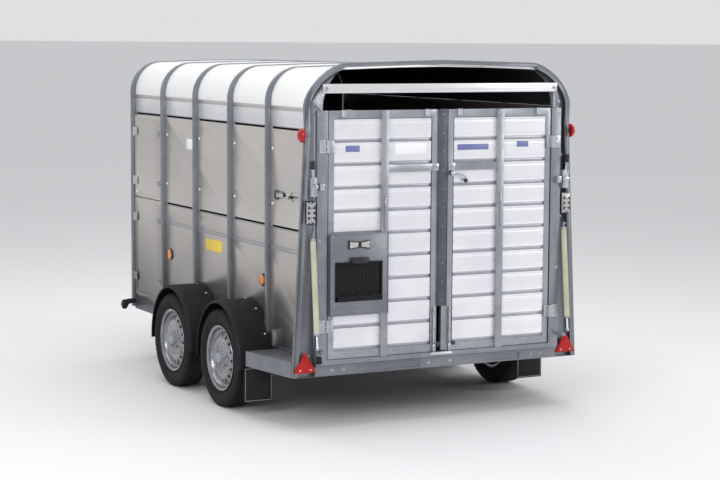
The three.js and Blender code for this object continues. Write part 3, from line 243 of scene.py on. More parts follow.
class Paintshop:
    """Makes each finish's material once."""

    def __init__(self) -> None:
        """Starts with no materials."""
        self._made: dict[str, bpy.types.Material] = {}

    def get(self, finish: Finish) -> bpy.types.Material:
        """Gives the material of a finish.

        Args:
            finish: The finish.

        Returns:
            Its material, made at the first call.
        """
        if finish.name not in self._made:
            self._made[finish.name] = self._make(finish)
        return self._made[finish.name]

    def _make(self, finish: Finish) -> bpy.types.Material:
        """Builds the node tree of one finish."""
        material = bpy.data.materials.new(finish.name)
        material.use_nodes = True
        material.diffuse_color = finish.colour
        tree = material.node_tree
        shader = tree.nodes["Principled BSDF"]
        shader.inputs["Metallic"].default_value = finish.metallic
        shader.inputs["Coat Weight"].default_value = finish.coat
        shader.inputs["Coat Roughness"].default_value = 0.08
        shader.inputs["Specular IOR Level"].default_value = finish.specular
        shader.inputs["Transmission Weight"].default_value = finish.transmission
        where = tree.nodes.new("ShaderNodeTexCoord").outputs["Object"]
        patches = self._noise(tree, where, finish.patches, 5.0)
        pattern = self._pattern(tree, where, finish)
        colour = self._mix(tree, self._range(tree, patches, 0.36, 0.64, 0.0, 1.0), finish.colour,
                           finish.shade)
        dim = tuple(channel * (1.0 - finish.depth) for channel in finish.colour[:3]) + (1.0,)
        colour = self._mix(tree, self._range(tree, pattern, 0.25, 1.0, 0.0, 0.55), colour, dim)
        # Painted shade: darkens the colour towards the ground.
        if finish.fade > 0.0:
            colour = self._mix(tree, self._ground_shade(tree, where, finish.fade), colour, GROUND_SHADE_COLOUR)
        # Road dust and painted shade low down.
        if finish.dust_and_shade > 0.0:
            colour = self._mix(tree, self._dust_and_shade(tree, where, finish.dust_and_shade), colour, DUST_AND_SHADE_COLOUR)
        tree.links.new(colour, shader.inputs["Base Color"])
        low = max(finish.roughness - finish.spread, 0.05)
        high = min(finish.roughness + finish.spread, 1.0)
        mixed = tree.nodes.new("ShaderNodeMath")
        mixed.operation = "ADD"
        tree.links.new(self._range(tree, pattern, 0.0, 1.0, 0.0, 0.5), mixed.inputs[0])
        tree.links.new(self._range(tree, patches, 0.3, 0.7, 0.0, 0.5), mixed.inputs[1])
        rough = self._range(tree, mixed.outputs[0], 0.0, 1.0, low, high)
        tree.links.new(rough, shader.inputs["Roughness"])
        relief = tree.nodes.new("ShaderNodeBump")
        relief.inputs["Strength"].default_value = min(finish.bump * 2.0, 1.0)
        relief.inputs["Distance"].default_value = 0.0012 if finish.grain is not Grain.ROLLED else 0.0004
        tree.links.new(pattern, relief.inputs["Height"])
        tree.links.new(relief.outputs["Normal"], shader.inputs["Normal"])
        return material

    def _pattern(self, tree: bpy.types.NodeTree, where: bpy.types.NodeSocket,
                 finish: Finish) -> bpy.types.NodeSocket:
        """Builds the fine pattern of a finish, from 0 to 1."""
        mapping = tree.nodes.new("ShaderNodeMapping")
        mapping.inputs["Scale"].default_value = finish.stretch
        tree.links.new(where, mapping.inputs["Vector"])
        place = mapping.outputs["Vector"]
        if finish.grain in (Grain.ROLLED, Grain.SPECKLE):
            return self._noise(tree, place, finish.cells, 6.0)
        cells = tree.nodes.new("ShaderNodeTexVoronoi")
        cells.inputs["Scale"].default_value = finish.cells
        tree.links.new(place, cells.inputs["Vector"])
        if finish.grain is Grain.SPANGLE:
            split = tree.nodes.new("ShaderNodeSeparateColor")
            tree.links.new(cells.outputs["Color"], split.inputs["Color"])
            return split.outputs[0]
        if finish.grain is Grain.PRISM:
            cells.distance = "CHEBYCHEV"
            cells.inputs["Randomness"].default_value = 0.0
        return self._range(tree, cells.outputs["Distance"], 0.0, 0.7, 0.0, 1.0)

    def _ground_shade(self, tree: bpy.types.NodeTree, where: bpy.types.NodeSocket,
              amount: float) -> bpy.types.NodeSocket:
        """Builds painted shade: an even darkening from belt height down to the floor frame."""
        split = tree.nodes.new("ShaderNodeSeparateXYZ")
        tree.links.new(where, split.inputs["Vector"])
        return self._range(tree, split.outputs["Z"], 1.25, 0.45, 0.0, amount)

    def _dust_and_shade(self, tree: bpy.types.NodeTree, where: bpy.types.NodeSocket,
               amount: float) -> bpy.types.NodeSocket:
        """Builds the mask of road dust and painted shade, thick near the ground and broken up by noise."""
        split = tree.nodes.new("ShaderNodeSeparateXYZ")
        tree.links.new(where, split.inputs["Vector"])
        height = self._range(tree, split.outputs["Z"], 1.3, 0.1, 0.12, 1.0)
        broken = self._range(tree, self._noise(tree, where, 9.0, 6.0), 0.42, 0.72, 0.25, 1.0)
        product = tree.nodes.new("ShaderNodeMath")
        product.operation = "MULTIPLY"
        tree.links.new(height, product.inputs[0])
        tree.links.new(broken, product.inputs[1])
        return self._range(tree, product.outputs[0], 0.0, 1.0, 0.0, amount)

    @staticmethod
    def _noise(tree: bpy.types.NodeTree, where: bpy.types.NodeSocket, scale: float,
               detail: float) -> bpy.types.NodeSocket:
        """Adds a noise texture and gives its factor."""
        noise = tree.nodes.new("ShaderNodeTexNoise")
        noise.inputs["Scale"].default_value = scale
        noise.inputs["Detail"].default_value = detail
        noise.inputs["Roughness"].default_value = 0.6
        tree.links.new(where, noise.inputs["Vector"])
        return noise.outputs["Fac"]

    @staticmethod
    def _range(tree: bpy.types.NodeTree, value: bpy.types.NodeSocket, from_low: float, from_high: float,
               to_low: float, to_high: float) -> bpy.types.NodeSocket:
        """Adds a clamped change of range and gives its result."""
        change = tree.nodes.new("ShaderNodeMapRange")
        change.inputs["From Min"].default_value = from_low
        change.inputs["From Max"].default_value = from_high
        change.inputs["To Min"].default_value = to_low
        change.inputs["To Max"].default_value = to_high
        tree.links.new(value, change.inputs["Value"])
        return change.outputs["Result"]

    @staticmethod
    def _mix(tree: bpy.types.NodeTree, share: bpy.types.NodeSocket, first: object,
             second: object) -> bpy.types.NodeSocket:
        """Adds a colour mix of two colours or sockets and gives its result."""
        mix = tree.nodes.new("ShaderNodeMix")
        mix.data_type = "RGBA"
        tree.links.new(share, mix.inputs["Factor"])
        for value, socket in ((first, mix.inputs[6]), (second, mix.inputs[7])):
            if isinstance(value, bpy.types.NodeSocket):
                tree.links.new(value, socket)
            else:
                socket.default_value = value
        return mix.outputs[2]


PAINT = Paintshop()


# ------------------------------------------------------------------ meshes
class Shape:
    """A mesh under construction, in the frame's metres."""

    def __init__(self) -> None:
        """Starts an empty mesh."""
        self.bm = bmesh.new()

    def block(self, low: Point, high: Point, edge: float = 0.0015) -> "Shape":
        """Adds a block with rounded edges.

        Args:
            low: One corner.
            high: The opposite corner.
            edge: Width of the rounding.

        Returns:
            This shape.
        """
        size = [abs(b - a) for a, b in zip(low, high)]
        centre = [(a + b) / 2.0 for a, b in zip(low, high)]
        place = Matrix.Translation(centre) @ Matrix.Diagonal((*size, 1.0))
        made = bmesh.ops.create_cube(self.bm, size=1.0, matrix=place)
        edges = {e for v in made["verts"] for e in v.link_edges}
        width = min(edge, min(size) * 0.35)
        if width > 0.0:
            bmesh.ops.bevel(self.bm, geom=list(edges), offset=width, segments=2, affect="EDGES",
                            profile=0.5, clamp_overlap=True)
        return self

    def rod(self, start: Point, end: Point, radius: float, sides: int = 24, tip: float | None = None,
            edge: float = 0.0012) -> "Shape":
        """Adds a round bar.

        Args:
            start: Middle of its first end.
            end: Middle of its other end.
            radius: Radius at the first end.
            sides: Number of flats round it.
            tip: Radius at the other end, the same if left out.
            edge: Rounding of both rims.

        Returns:
            This shape.
        """
        tip = radius if tip is None else tip
        run = Vector(end) - Vector(start)
        along = run.normalized()
        length = run.length
        edge = min(edge, radius * 0.4, tip * 0.4, length * 0.3)
        stations = [(0.0, radius - edge), (edge, radius), (length - edge, tip), (length, tip - edge)]
        side = along.orthogonal().normalized()
        across = along.cross(side)
        rings = []
        for distance, size in stations:
            middle = Vector(start) + along * distance
            rings.append([self.bm.verts.new(middle + (side * math.cos(t) + across * math.sin(t)) * size)
                          for t in (2.0 * math.pi * k / sides for k in range(sides))])
        self._bridge(rings)
        self.bm.faces.new(list(reversed(rings[0])))
        self.bm.faces.new(rings[-1])
        return self

    def sweep(self, points: Sequence[Point], radius: float, sides: int = 12,
              closed: bool = False) -> "Shape":
        """Adds a round wire along a smooth line.

        Args:
            points: The line's points.
            radius: The wire's radius.
            sides: Number of flats round it.
            closed: True for a ring.

        Returns:
            This shape.
        """
        line = [Vector(p) for p in points]
        count = len(line)
        rings = []
        side = None
        for i, middle in enumerate(line):
            before = line[i - 1] if (closed or i > 0) else middle
            after = line[(i + 1) % count] if (closed or i < count - 1) else middle
            along = (after - before).normalized()
            side = along.orthogonal() if side is None else side - along * side.dot(along)
            side = side.normalized()
            across = along.cross(side)
            rings.append([self.bm.verts.new(middle + (side * math.cos(t) + across * math.sin(t)) * radius)
                          for t in (2.0 * math.pi * k / sides for k in range(sides))])
        self._bridge(rings)
        if closed:
            self._bridge([rings[-1], rings[0]])
        else:
            self.bm.faces.new(list(reversed(rings[0])))
            self.bm.faces.new(rings[-1])
        return self

    def turned(self, profile: Sequence[tuple[float, float]], centre: Point, axis: Point = (1.0, 0.0, 0.0),
               steps: int = 64) -> "Shape":
        """Adds a profile turned about an axis.

        Args:
            profile: (radius, offset) points of a closed outline, or one that ends on the axis.
            centre: Where offset and radius are nil.
            axis: Direction of the offset.
            steps: Number of steps round the axis.

        Returns:
            This shape.
        """
        along = Vector(axis).normalized()
        side = along.orthogonal().normalized()
        across = along.cross(side)
        loops = []
        for radius, offset in profile:
            middle = Vector(centre) + along * offset
            if radius < 1e-6:
                loops.append([self.bm.verts.new(middle)])
                continue
            loops.append([self.bm.verts.new(middle + (side * math.cos(t) + across * math.sin(t)) * radius)
                          for t in (2.0 * math.pi * k / steps for k in range(steps))])
        for first, second in zip(loops, loops[1:] + loops[:1]):
            if len(first) == 1 and len(second) == 1:
                continue
            for k in range(steps):
                nxt = (k + 1) % steps
                ring = [first[k % len(first)], first[nxt % len(first)], second[nxt % len(second)],
                        second[k % len(second)]]
                self.bm.faces.new(list(dict.fromkeys(ring)))
        return self

    def prism(self, outline: Sequence[tuple[float, float]], axis: str, start: float, end: float,
              edge: float = 0.0) -> "Shape":
        """Adds a flat outline drawn out along an axis.

        Args:
            outline: Its corners, in the plane across the axis.
            axis: X for (y, z) corners, Y for (x, z) and Z for (x, y).
            start: Where it starts along the axis.
            end: Where it ends.
            edge: Rounding of its sharp edges.

        Returns:
            This shape.
        """
        def place(a: float, b: float, c: float) -> tuple[float, float, float]:
            """Puts an outline corner in space."""
            return {"X": (c, a, b), "Y": (a, c, b), "Z": (a, b, c)}[axis]

        near = [self.bm.verts.new(place(a, b, start)) for a, b in outline]
        far = [self.bm.verts.new(place(a, b, end)) for a, b in outline]
        faces = [self.bm.faces.new(near), self.bm.faces.new(list(reversed(far)))]
        for i in range(len(near)):
            j = (i + 1) % len(near)
            faces.append(self.bm.faces.new([near[j], near[i], far[i], far[j]]))
        if edge > 0.0:
            bmesh.ops.recalc_face_normals(self.bm, faces=faces)
            sharp = {e for f in faces for e in f.edges if e.calc_face_angle(0.0) > math.radians(30.0)}
            bmesh.ops.bevel(self.bm, geom=list(sharp), offset=edge, segments=2, affect="EDGES",
                            profile=0.5, clamp_overlap=True)
        return self

    def loft(self, rings: Sequence[Sequence[Point]], caps: bool = True) -> "Shape":
        """Adds a skin through closed rings of equal length.

        Args:
            rings: The rings, in order.
            caps: Whether both ends are closed.

        Returns:
            This shape.
        """
        made = [[self.bm.verts.new(p) for p in ring] for ring in rings]
        self._bridge(made)
        if caps:
            self.bm.faces.new(list(reversed(made[0])))
            self.bm.faces.new(made[-1])
        return self

    def dome(self, centre: Point, radius: float, rise: float, axis: Point, steps: int = 24) -> "Shape":
        """Adds a shallow closed dome that stands on a face."""
        arc = [(radius * math.cos(t), rise * math.sin(t))
               for t in (math.pi / 2.0 * k / 6 for k in range(6))]
        return self.turned([(0.0, 0.0), *arc, (0.0, rise)], centre, axis, steps)

    def copy_of(self, node: str, edge: float = 0.0012) -> "Shape":
        """Adds a merged copy of a CAD solid with rounded edges.

        Args:
            node: The solid's name.
            edge: Rounding of its sharp edges.

        Returns:
            This shape.
        """
        self.bm.from_mesh(frame["nodes"][node].data)
        bmesh.ops.remove_doubles(self.bm, verts=self.bm.verts[:], dist=2e-5)
        bmesh.ops.dissolve_limit(self.bm, angle_limit=math.radians(0.6), verts=self.bm.verts[:],
                                 edges=self.bm.edges[:])
        if edge > 0.0:
            sharp = [e for e in self.bm.edges
                     if len(e.link_faces) == 2 and e.calc_face_angle(0.0) > math.radians(32.0)
                     and e.calc_length() > 2.5 * edge]
            bmesh.ops.bevel(self.bm, geom=sharp, offset=edge, segments=2, affect="EDGES", profile=0.5,
                            clamp_overlap=True)
        return self

    def _bridge(self, rings: Sequence[Sequence[bmesh.types.BMVert]]) -> None:
        """Joins each ring to the next with four-sided faces."""
        for first, second in zip(rings, rings[1:]):
            for k in range(len(first)):
                nxt = (k + 1) % len(first)
                self.bm.faces.new([first[k], first[nxt], second[nxt], second[k]])

    def mesh(self, name: str, angle: float = 32.0) -> bpy.types.Mesh:
        """Ends the shape as a mesh with outward normals and smooth faces.

        Args:
            name: The mesh's name.
            angle: Edges sharper than this stay sharp, in degrees.

        Returns:
            The mesh.
        """
        bmesh.ops.recalc_face_normals(self.bm, faces=self.bm.faces[:])
        made = bpy.data.meshes.new(name)
        self.bm.to_mesh(made)
        self.bm.free()
        made.polygons.foreach_set("use_smooth", [True] * len(made.polygons))
        made.set_sharp_from_angle(angle=math.radians(angle))
        return made


def add_piece(name: str, form: Shape | bpy.types.Mesh, finish: Finish, body: str,
              stands_for: Iterable[str] = (), angle: float = 32.0) -> bpy.types.Object:
    """Puts a finished shape or mesh in the scene as one piece.

    Args:
        name: The piece's name.
        form: Its shape or mesh, with its place in it.
        finish: Its finish.
        body: The body that it moves with.
        stands_for: CAD nodes that it replaces.
        angle: Edges of a shape sharper than this stay sharp, in degrees.

    Returns:
        The new object.
    """
    mesh = form.mesh(name, angle) if isinstance(form, Shape) else form
    mesh.materials.clear()
    mesh.materials.append(PAINT.get(finish))
    piece = bpy.data.objects.new(name, mesh)
    bpy.context.scene.collection.objects.link(piece)
    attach(piece, body)
    if stands_for:
        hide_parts(*stands_for)
    LOG.info("%s: %d faces on %s", name, len(mesh.polygons), body)
    return piece


def refine(node: str, finish: Finish | None = None, edge: float = 0.0012) -> bpy.types.Object:
    """Replaces a CAD node by a merged copy of it with rounded edges.

    Args:
        node: The node's name.
        finish: Its finish, that of its slot if left out.
        edge: Rounding of its sharp edges.

    Returns:
        The new object.
    """
    slot = SLOT_OF[node]
    made = Shape().copy_of(node, edge).mesh(node + "_surface")
    return add_piece(node + "_surface", made, finish or SLOT_FINISH[slot], BODY_OF[node], [node])


# ------------------------------------------------------------------ repeated fittings
class NodeTree:
    """A small Geometry Nodes tree, built node by node."""

    def __init__(self, name: str) -> None:
        """Starts a tree with one geometry in and one geometry out.

        Args:
            name: The tree's name.
        """
        self.tree = bpy.data.node_groups.new(name, "GeometryNodeTree")
        self.sockets: dict[str, str] = {}
        self.add_input("Geometry", "NodeSocketGeometry")
        self.tree.interface.new_socket("Geometry", in_out="OUTPUT", socket_type="NodeSocketGeometry")
        self.source = self.tree.nodes.new("NodeGroupInput")
        self.sink = self.tree.nodes.new("NodeGroupOutput")

    def add_input(self, name: str, kind: str) -> None:
        """Adds a named input."""
        item = self.tree.interface.new_socket(name, in_out="INPUT", socket_type=kind)
        self.sockets[name] = item.identifier

    def node(self, kind: str, **settings: object) -> bpy.types.Node:
        """Adds a node with its settings."""
        made = self.tree.nodes.new(kind)
        for key, value in settings.items():
            setattr(made, key, value)
        return made

    def link(self, first: bpy.types.NodeSocket, second: bpy.types.NodeSocket) -> None:
        """Joins two sockets."""
        self.tree.links.new(first, second)

    def end(self, instances: bpy.types.NodeSocket) -> None:
        """Ends the tree in real geometry with its finish set."""
        real = self.node("GeometryNodeRealizeInstances")
        dressed = self.node("GeometryNodeSetMaterial")
        self.link(instances, real.inputs["Geometry"])
        self.link(real.outputs["Geometry"], dressed.inputs["Geometry"])
        self.link(self.source.outputs["Material"], dressed.inputs["Material"])
        self.link(dressed.outputs["Geometry"], self.sink.inputs["Geometry"])


def scatter_tree() -> NodeTree:
    """Builds the tree that stands one fitting on every point, facing the way the point says.

    Returns:
        The tree.
    """
    made = NodeTree("fittings_on_points")
    made.add_input("Fitting", "NodeSocketObject")
    made.add_input("Size", "NodeSocketFloat")
    made.add_input("Twist", "NodeSocketFloat")
    made.add_input("Seed", "NodeSocketInt")
    made.add_input("Material", "NodeSocketMaterial")
    fitting = made.node("GeometryNodeObjectInfo")
    facing = made.node("GeometryNodeInputNamedAttribute", data_type="FLOAT_VECTOR")
    facing.inputs["Name"].default_value = "facing"
    aim = made.node("FunctionNodeAlignRotationToVector", axis="Z")
    stand = made.node("GeometryNodeInstanceOnPoints")
    turn = made.node("FunctionNodeRandomValue", data_type="FLOAT")
    angle = made.node("ShaderNodeCombineXYZ")
    spin = made.node("GeometryNodeRotateInstances")
    made.link(made.source.outputs["Fitting"], fitting.inputs["Object"])
    made.link(facing.outputs["Attribute"], aim.inputs["Vector"])
    made.link(made.source.outputs["Geometry"], stand.inputs["Points"])
    made.link(fitting.outputs["Geometry"], stand.inputs["Instance"])
    made.link(aim.outputs["Rotation"], stand.inputs["Rotation"])
    made.link(made.source.outputs["Size"], stand.inputs["Scale"])
    made.link(made.source.outputs["Twist"], turn.inputs[3])
    made.link(made.source.outputs["Seed"], turn.inputs["Seed"])
    made.link(turn.outputs[1], angle.inputs["Z"])
    made.link(stand.outputs["Instances"], spin.inputs["Instances"])
    made.link(angle.outputs["Vector"], spin.inputs["Rotation"])
    made.end(spin.outputs["Instances"])
    return made


def row_tree() -> NodeTree:
    """Builds the tree that repeats a piece along a straight row.

    Returns:
        The tree.
    """
    made = NodeTree("pieces_in_a_row")
    made.add_input("Count", "NodeSocketInt")
    made.add_input("Pitch", "NodeSocketVector")
    made.add_input("Material", "NodeSocketMaterial")
    line = made.node("GeometryNodeMeshLine", mode="OFFSET")
    stand = made.node("GeometryNodeInstanceOnPoints")
    made.link(made.source.outputs["Count"], line.inputs["Count"])
    made.link(made.source.outputs["Pitch"], line.inputs["Offset"])
    made.link(line.outputs["Mesh"], stand.inputs["Points"])
    made.link(made.source.outputs["Geometry"], stand.inputs["Instance"])
    made.end(stand.outputs["Instances"])
    return made


def ring_tree() -> NodeTree:
    """Builds the tree that repeats a piece round an axis along X through the origin.

    Returns:
        The tree.
    """
    made = NodeTree("pieces_round_a_ring")
    made.add_input("Count", "NodeSocketInt")
    made.add_input("Material", "NodeSocketMaterial")
    line = made.node("GeometryNodeMeshLine", mode="OFFSET")
    line.inputs["Offset"].default_value = (0.0, 0.0, 0.0)
    index = made.node("GeometryNodeInputIndex")
    share = made.node("ShaderNodeMath", operation="DIVIDE")
    turn = made.node("ShaderNodeMath", operation="MULTIPLY")
    turn.inputs[1].default_value = 2.0 * math.pi
    angle = made.node("ShaderNodeCombineXYZ")
    stand = made.node("GeometryNodeInstanceOnPoints")
    made.link(made.source.outputs["Count"], line.inputs["Count"])
    made.link(index.outputs["Index"], share.inputs[0])
    made.link(made.source.outputs["Count"], share.inputs[1])
    made.link(share.outputs["Value"], turn.inputs[0])
    made.link(turn.outputs["Value"], angle.inputs["X"])
    made.link(line.outputs["Mesh"], stand.inputs["Points"])
    made.link(made.source.outputs["Geometry"], stand.inputs["Instance"])
    made.link(angle.outputs["Vector"], stand.inputs["Rotation"])
    made.end(stand.outputs["Instances"])
    return made


class Repeater:
    """Runs the repeating trees and turns their result into plain meshes."""

    def __init__(self) -> None:
        """Builds the trees."""
        self.scatter = scatter_tree()
        self.row = row_tree()
        self.ring = ring_tree()

    def run(self, tree: NodeTree, base: bpy.types.Mesh, finish: Finish, **inputs: object) -> bpy.types.Mesh:
        """Runs a tree on a mesh.

        Args:
            tree: The tree.
            base: The mesh it starts from.
            finish: The finish of what it makes.
            **inputs: Its other inputs by name.

        Returns:
            The plain mesh that it made.
        """
        holder = bpy.data.objects.new("tree_holder", base)
        bpy.context.scene.collection.objects.link(holder)
        modifier = holder.modifiers.new("repeat", "NODES")
        modifier.node_group = tree.tree
        modifier[tree.sockets["Material"]] = PAINT.get(finish)
        for name, value in inputs.items():
            modifier[tree.sockets[name]] = value
        bpy.context.view_layer.update()
        graph = bpy.context.evaluated_depsgraph_get()
        made = bpy.data.meshes.new_from_object(holder.evaluated_get(graph), depsgraph=graph)
        holder.modifiers.remove(modifier)
        bpy.data.objects.remove(holder)
        return made

    def fittings(self, name: str, head: bpy.types.Mesh, places: Sequence[tuple[Point, Point]],
                 finish: Finish, body: str, slot: str, twist: float = 6.28,
                 seed: int = 3) -> bpy.types.Object:
        """Stands copies of one fitting on a list of places.

        Args:
            name: The piece's name.
            head: The fitting, standing on the origin and facing up.
            places: Each place and the direction that it faces.
            finish: The finish.
            body: The body that they move with.
            slot: The record's material slot; not used.
            twist: Widest random turn of a fitting, in radians.
            seed: Seed of those turns.

        Returns:
            The piece that holds them all.
        """
        points = bpy.data.meshes.new(name + "_places")
        points.from_pydata([tuple(place) for place, _ in places], [], [])
        facing = points.attributes.new("facing", "FLOAT_VECTOR", "POINT")
        facing.data.foreach_set("vector", [value for _, way in places for value in way])
        fitting = bpy.data.objects.new(name + "_fitting", head)
        bpy.context.scene.collection.objects.link(fitting)
        made = self.run(self.scatter, points, finish, Fitting=fitting, Size=1.0, Twist=twist, Seed=seed)
        bpy.data.objects.remove(fitting)
        return add_piece(name, made, finish, body)


REPEAT = Repeater()


def dome_head(radius: float, rise: float) -> bpy.types.Mesh:
    """Makes a round-headed bolt that stands on the origin."""
    return Shape().dome((0.0, 0.0, 0.0), radius, rise, UP, 14).mesh("round_head")


def hex_head(radius: float, rise: float) -> bpy.types.Mesh:
    """Makes a bolt head on its washer, standing on the origin."""
    shape = Shape()
    shape.rod((0.0, 0.0, 0.0), (0.0, 0.0, rise * 0.3), radius * 1.5, 18)
    shape.rod((0.0, 0.0, rise * 0.3), (0.0, 0.0, rise), radius, 6)
    shape.rod((0.0, 0.0, rise), (0.0, 0.0, rise * 1.5), radius * 0.5, 12)
    return shape.mesh("hex_head", 25.0)


# ------------------------------------------------------------------ body shell
@dataclass
class Skin:
    """The line of the roof and sides, as the CAD solids draw it.

    Attributes:
        shoulder_x: Where the roof's gentle slope ends.
        shoulder_z: Where its round shoulder meets the straight side.
        rise: Height of the ridge over the end of the gentle slope.
        power: Fullness of the round shoulder; 2 is a true ellipse.
    """

    shoulder_x: float = 0.690
    shoulder_z: float = 2.040
    rise: float = 0.018
    power: float = 2.0

    def line(self, half: float, top: float, foot: float, inset: float = 0.0,
             steps: int = 22) -> list[tuple[float, float]]:
        """Gives the (x, z) line from the right foot over the roof to the left foot.

        Args:
            half: Half width.
            top: Height of the ridge.
            foot: Height of both feet.
            inset: How far inside that outline the line runs.
            steps: Steps round each shoulder.

        Returns:
            The line's points.
        """
        start_x = self.shoulder_x - inset * 0.3
        start_z = top - self.rise - inset
        right = [(half - inset, foot)]
        for i in range(steps, -1, -1):
            t = math.pi / 2.0 * i / steps
            right.append((start_x + (half - inset - start_x) * math.sin(t) ** (2.0 / self.power),
                          self.shoulder_z + (start_z - self.shoulder_z) * math.cos(t) ** (2.0 / self.power)))
        right.append((start_x * 0.5, top - inset - self.rise * 0.35))
        return [*right, (0.0, top - inset), *[(-x, z) for x, z in reversed(right)]]


SKIN = Skin()


@dataclass
class Shell:
    """Roof, hoops, side walls and floor of the body.

    Attributes:
        hoop_count: Number of hoops.
        bolt_heights: Heights of the bolts beside each hoop.
        marker_height: Height of the amber side markers.
        label: Length, height and middle height of the blank side label.
    """

    hoop_count: int = 5
    bolt_heights: tuple[float, ...] = (1.746, 1.385)
    marker_height: float = 0.865
    label: tuple[float, float, float] = (0.290, 0.080, 1.010)
    hoops: list[tuple[Vector, Vector]] = field(default_factory=list)

    def build(self) -> None:
        """Builds the shell."""
        self.hoops = [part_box(f"hoop_{i}") for i in range(1, self.hoop_count + 1)]
        for i in range(1, self.hoop_count + 1):
            self.hoop(i)
        self.roof()
        for node in ("side_wall_left", "side_wall_right"):
            refine(node, PANEL, 0.0006)
        refine("front_wall", PANEL, 0.0004)
        self.floor()
        self.belts()
        self.bolts()
        self.markers()
        self.labels()
        self.corner_lamps()

    def hoop(self, index: int) -> None:
        """Draws one hoop with rounded outer corners and its front flange."""
        low, high = self.hoops[index - 1]
        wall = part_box("side_wall_right")[1]
        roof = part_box("roof_shell")[1]
        gap = 0.0004
        start = low.y
        end = start + 0.038
        outer = SKIN.line(high.x, high.z, low.z)
        inner = SKIN.line(roof.x + gap, roof.z + gap, low.z)
        flange = SKIN.line(roof.x + 0.0026, roof.z + 0.0026, low.z)
        rings = []
        round_edge = 0.004
        for out, ins, lip in zip(outer, inner, flange):
            reach = Vector(out) - Vector(ins)
            deep = max(reach.length, 1e-4)
            way = reach / deep
            nose = min(round_edge, deep * 0.6)
            shoulder_out = Vector(out) - way * nose
            mid = Vector(out) - way * nose * 0.3
            section = [(ins, start), (shoulder_out, start), (mid, start + round_edge * 0.3),
                       (out, start + round_edge), (out, end - round_edge), (mid, end - round_edge * 0.3),
                       (shoulder_out, end)]
            if index < self.hoop_count:
                section += [(lip, end), (lip, high.y), (ins, high.y)]
            else:
                section += [(ins, end)]
            rings.append([(p[0], y, p[1]) for p, y in section])
        mesh = Shape().loft(rings).mesh(f"hoop_{index}_surface", 40.0)
        add_piece(f"hoop_{index}_surface", mesh, HOOP_METAL, "trailer", [f"hoop_{index}"])
        LOG.debug("hoop %d stands %.3f m out from the wall", index, high.x - wall.x)

    def roof(self) -> None:
        """Draws the arched roof sheet and, inside the roof and front wall, a dark sheet of painted shade."""
        low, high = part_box("roof_shell")
        outer = SKIN.line(high.x, high.z, low.z, 0.0, 30)
        inner = SKIN.line(high.x, high.z, low.z, 0.003, 30)
        shape = Shape()
        stations = [low.y]
        for hoop_low, _ in self.hoops[:-1]:
            stations += [hoop_low.y - 0.004, hoop_low.y + 0.042]
        stations.append(high.y)
        rings = []
        for y in stations:
            rings.append([(x, y, z) for x, z in outer] + [(x, y, z) for x, z in reversed(inner)])
        shape.loft(rings)
        add_piece("roof_sheet", shape, ROOF, "trailer", ["roof_shell"], angle=40.0)
        # A dark sheet inside the roof and front wall: painted shade of the unlit interior.
        near = SKIN.line(high.x, high.z, low.z, 0.0034, 30)
        deep = SKIN.line(high.x, high.z, low.z, 0.0050, 30)
        shade_sheet = Shape()
        shade_sheet.loft([[(x, y, z) for x, z in near] + [(x, y, z) for x, z in reversed(deep)]
                    for y in (low.y + 0.08, high.y - 0.012)])
        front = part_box("front_wall")[0]
        inner = SKIN.line(high.x, high.z, front.z + 0.01, 0.012, 20)
        shade_sheet.prism(inner, "Y", front.y - 0.002, front.y - 0.0006)
        add_piece("inner_lining", shade_sheet, INTERIOR_SHADE, "trailer", angle=40.0)

    def bays(self) -> list[tuple[float, float]]:
        """Gives the start and end of each bay between hoops, from the rear."""
        starts = [forward(0.075)] + [high.y for _, high in self.hoops[:-1]]
        return [(start, low.y) for start, (low, _) in zip(starts, self.hoops)]

    def floor(self) -> None:
        """Draws the floor mat with its ribs across the body."""
        low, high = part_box("floor_deck")
        base = Shape().block(low, (high.x, high.y, high.z - 0.003), 0.001)
        rib = Shape().block((low.x + 0.02, low.y + 0.02, high.z - 0.0035),
                            (high.x - 0.02, low.y + 0.034, high.z), 0.0012).mesh("floor_rib")
        count = int((high.y - low.y - 0.06) / 0.05)
        ribs = REPEAT.run(REPEAT.row, rib, FLOOR_MAT, Count=count, Pitch=(0.0, 0.05, 0.0))
        base.bm.from_mesh(ribs)
        add_piece("floor_mat", base, FLOOR_MAT, "trailer", ["floor_deck"])

    def belts(self) -> None:
        """Draws the raised lines on the belt rails and the light strips at the vents."""
        shape = Shape()
        vents = Shape()
        for s, name in ((1.0, "side_wall_right"), (-1.0, "side_wall_left")):
            face = 0.8965
            for i, (start, end) in enumerate(self.bays()):
                doors = s < 0.0 and i == self.hoop_count - 1
                a, b = start + 0.003, end - 0.003
                for z in () if doors else (1.091, 1.109):
                    shape.block((s * (face + 0.008), a, z - 0.0045), (s * (face + 0.0125), b, z + 0.0045),
                                0.0015)
                if not doors:
                    shape.block((s * face, a, 1.225), (s * (face + 0.0035), b, 1.232), 0.001)
                vents.block((s * (face - 0.0005), a, 1.8895), (s * (face + 0.0022), b, 1.9975), 0.0008)
                shape.block((s * face, a, 1.8878), (s * (face + 0.005), b, 1.8932), 0.0012)
            LOG.debug("%s has its belts", name)
        add_piece("belt_rail_lines", shape, GALVANISED, "trailer")
        add_piece("upper_vent_covers", vents, BRIGHT, "trailer")

    def bolts(self) -> None:
        """Puts round-headed bolts beside the hoops and rivets along the wall edges."""
        heads = []
        rivets = []
        for i, (low, high) in enumerate(self.hoops):
            for s in (-1.0, 1.0):
                for z in self.bolt_heights:
                    heads.append(((s * 0.8968, low.y - 0.022, z), (s, 0.0, 0.0)))
                    if i < self.hoop_count - 1:
                        heads.append(((s * 0.8994, low.y + 0.049, z), (s, 0.0, 0.0)))
                for z in (0.45, 0.60, 0.80, 1.00, 1.60, 1.94, 2.03):
                    rivets.append(((s * high.x, low.y + 0.019, z), (s, 0.0, 0.0)))
        REPEAT.fittings("hoop_bolts", dome_head(0.0105, 0.0055), heads, WHITE_HEAD, "trailer",
                        "bright_metal")
        REPEAT.fittings("hoop_rivets", dome_head(0.0048, 0.0022), rivets, ZINC_BOLT, "trailer",
                        "bright_metal")

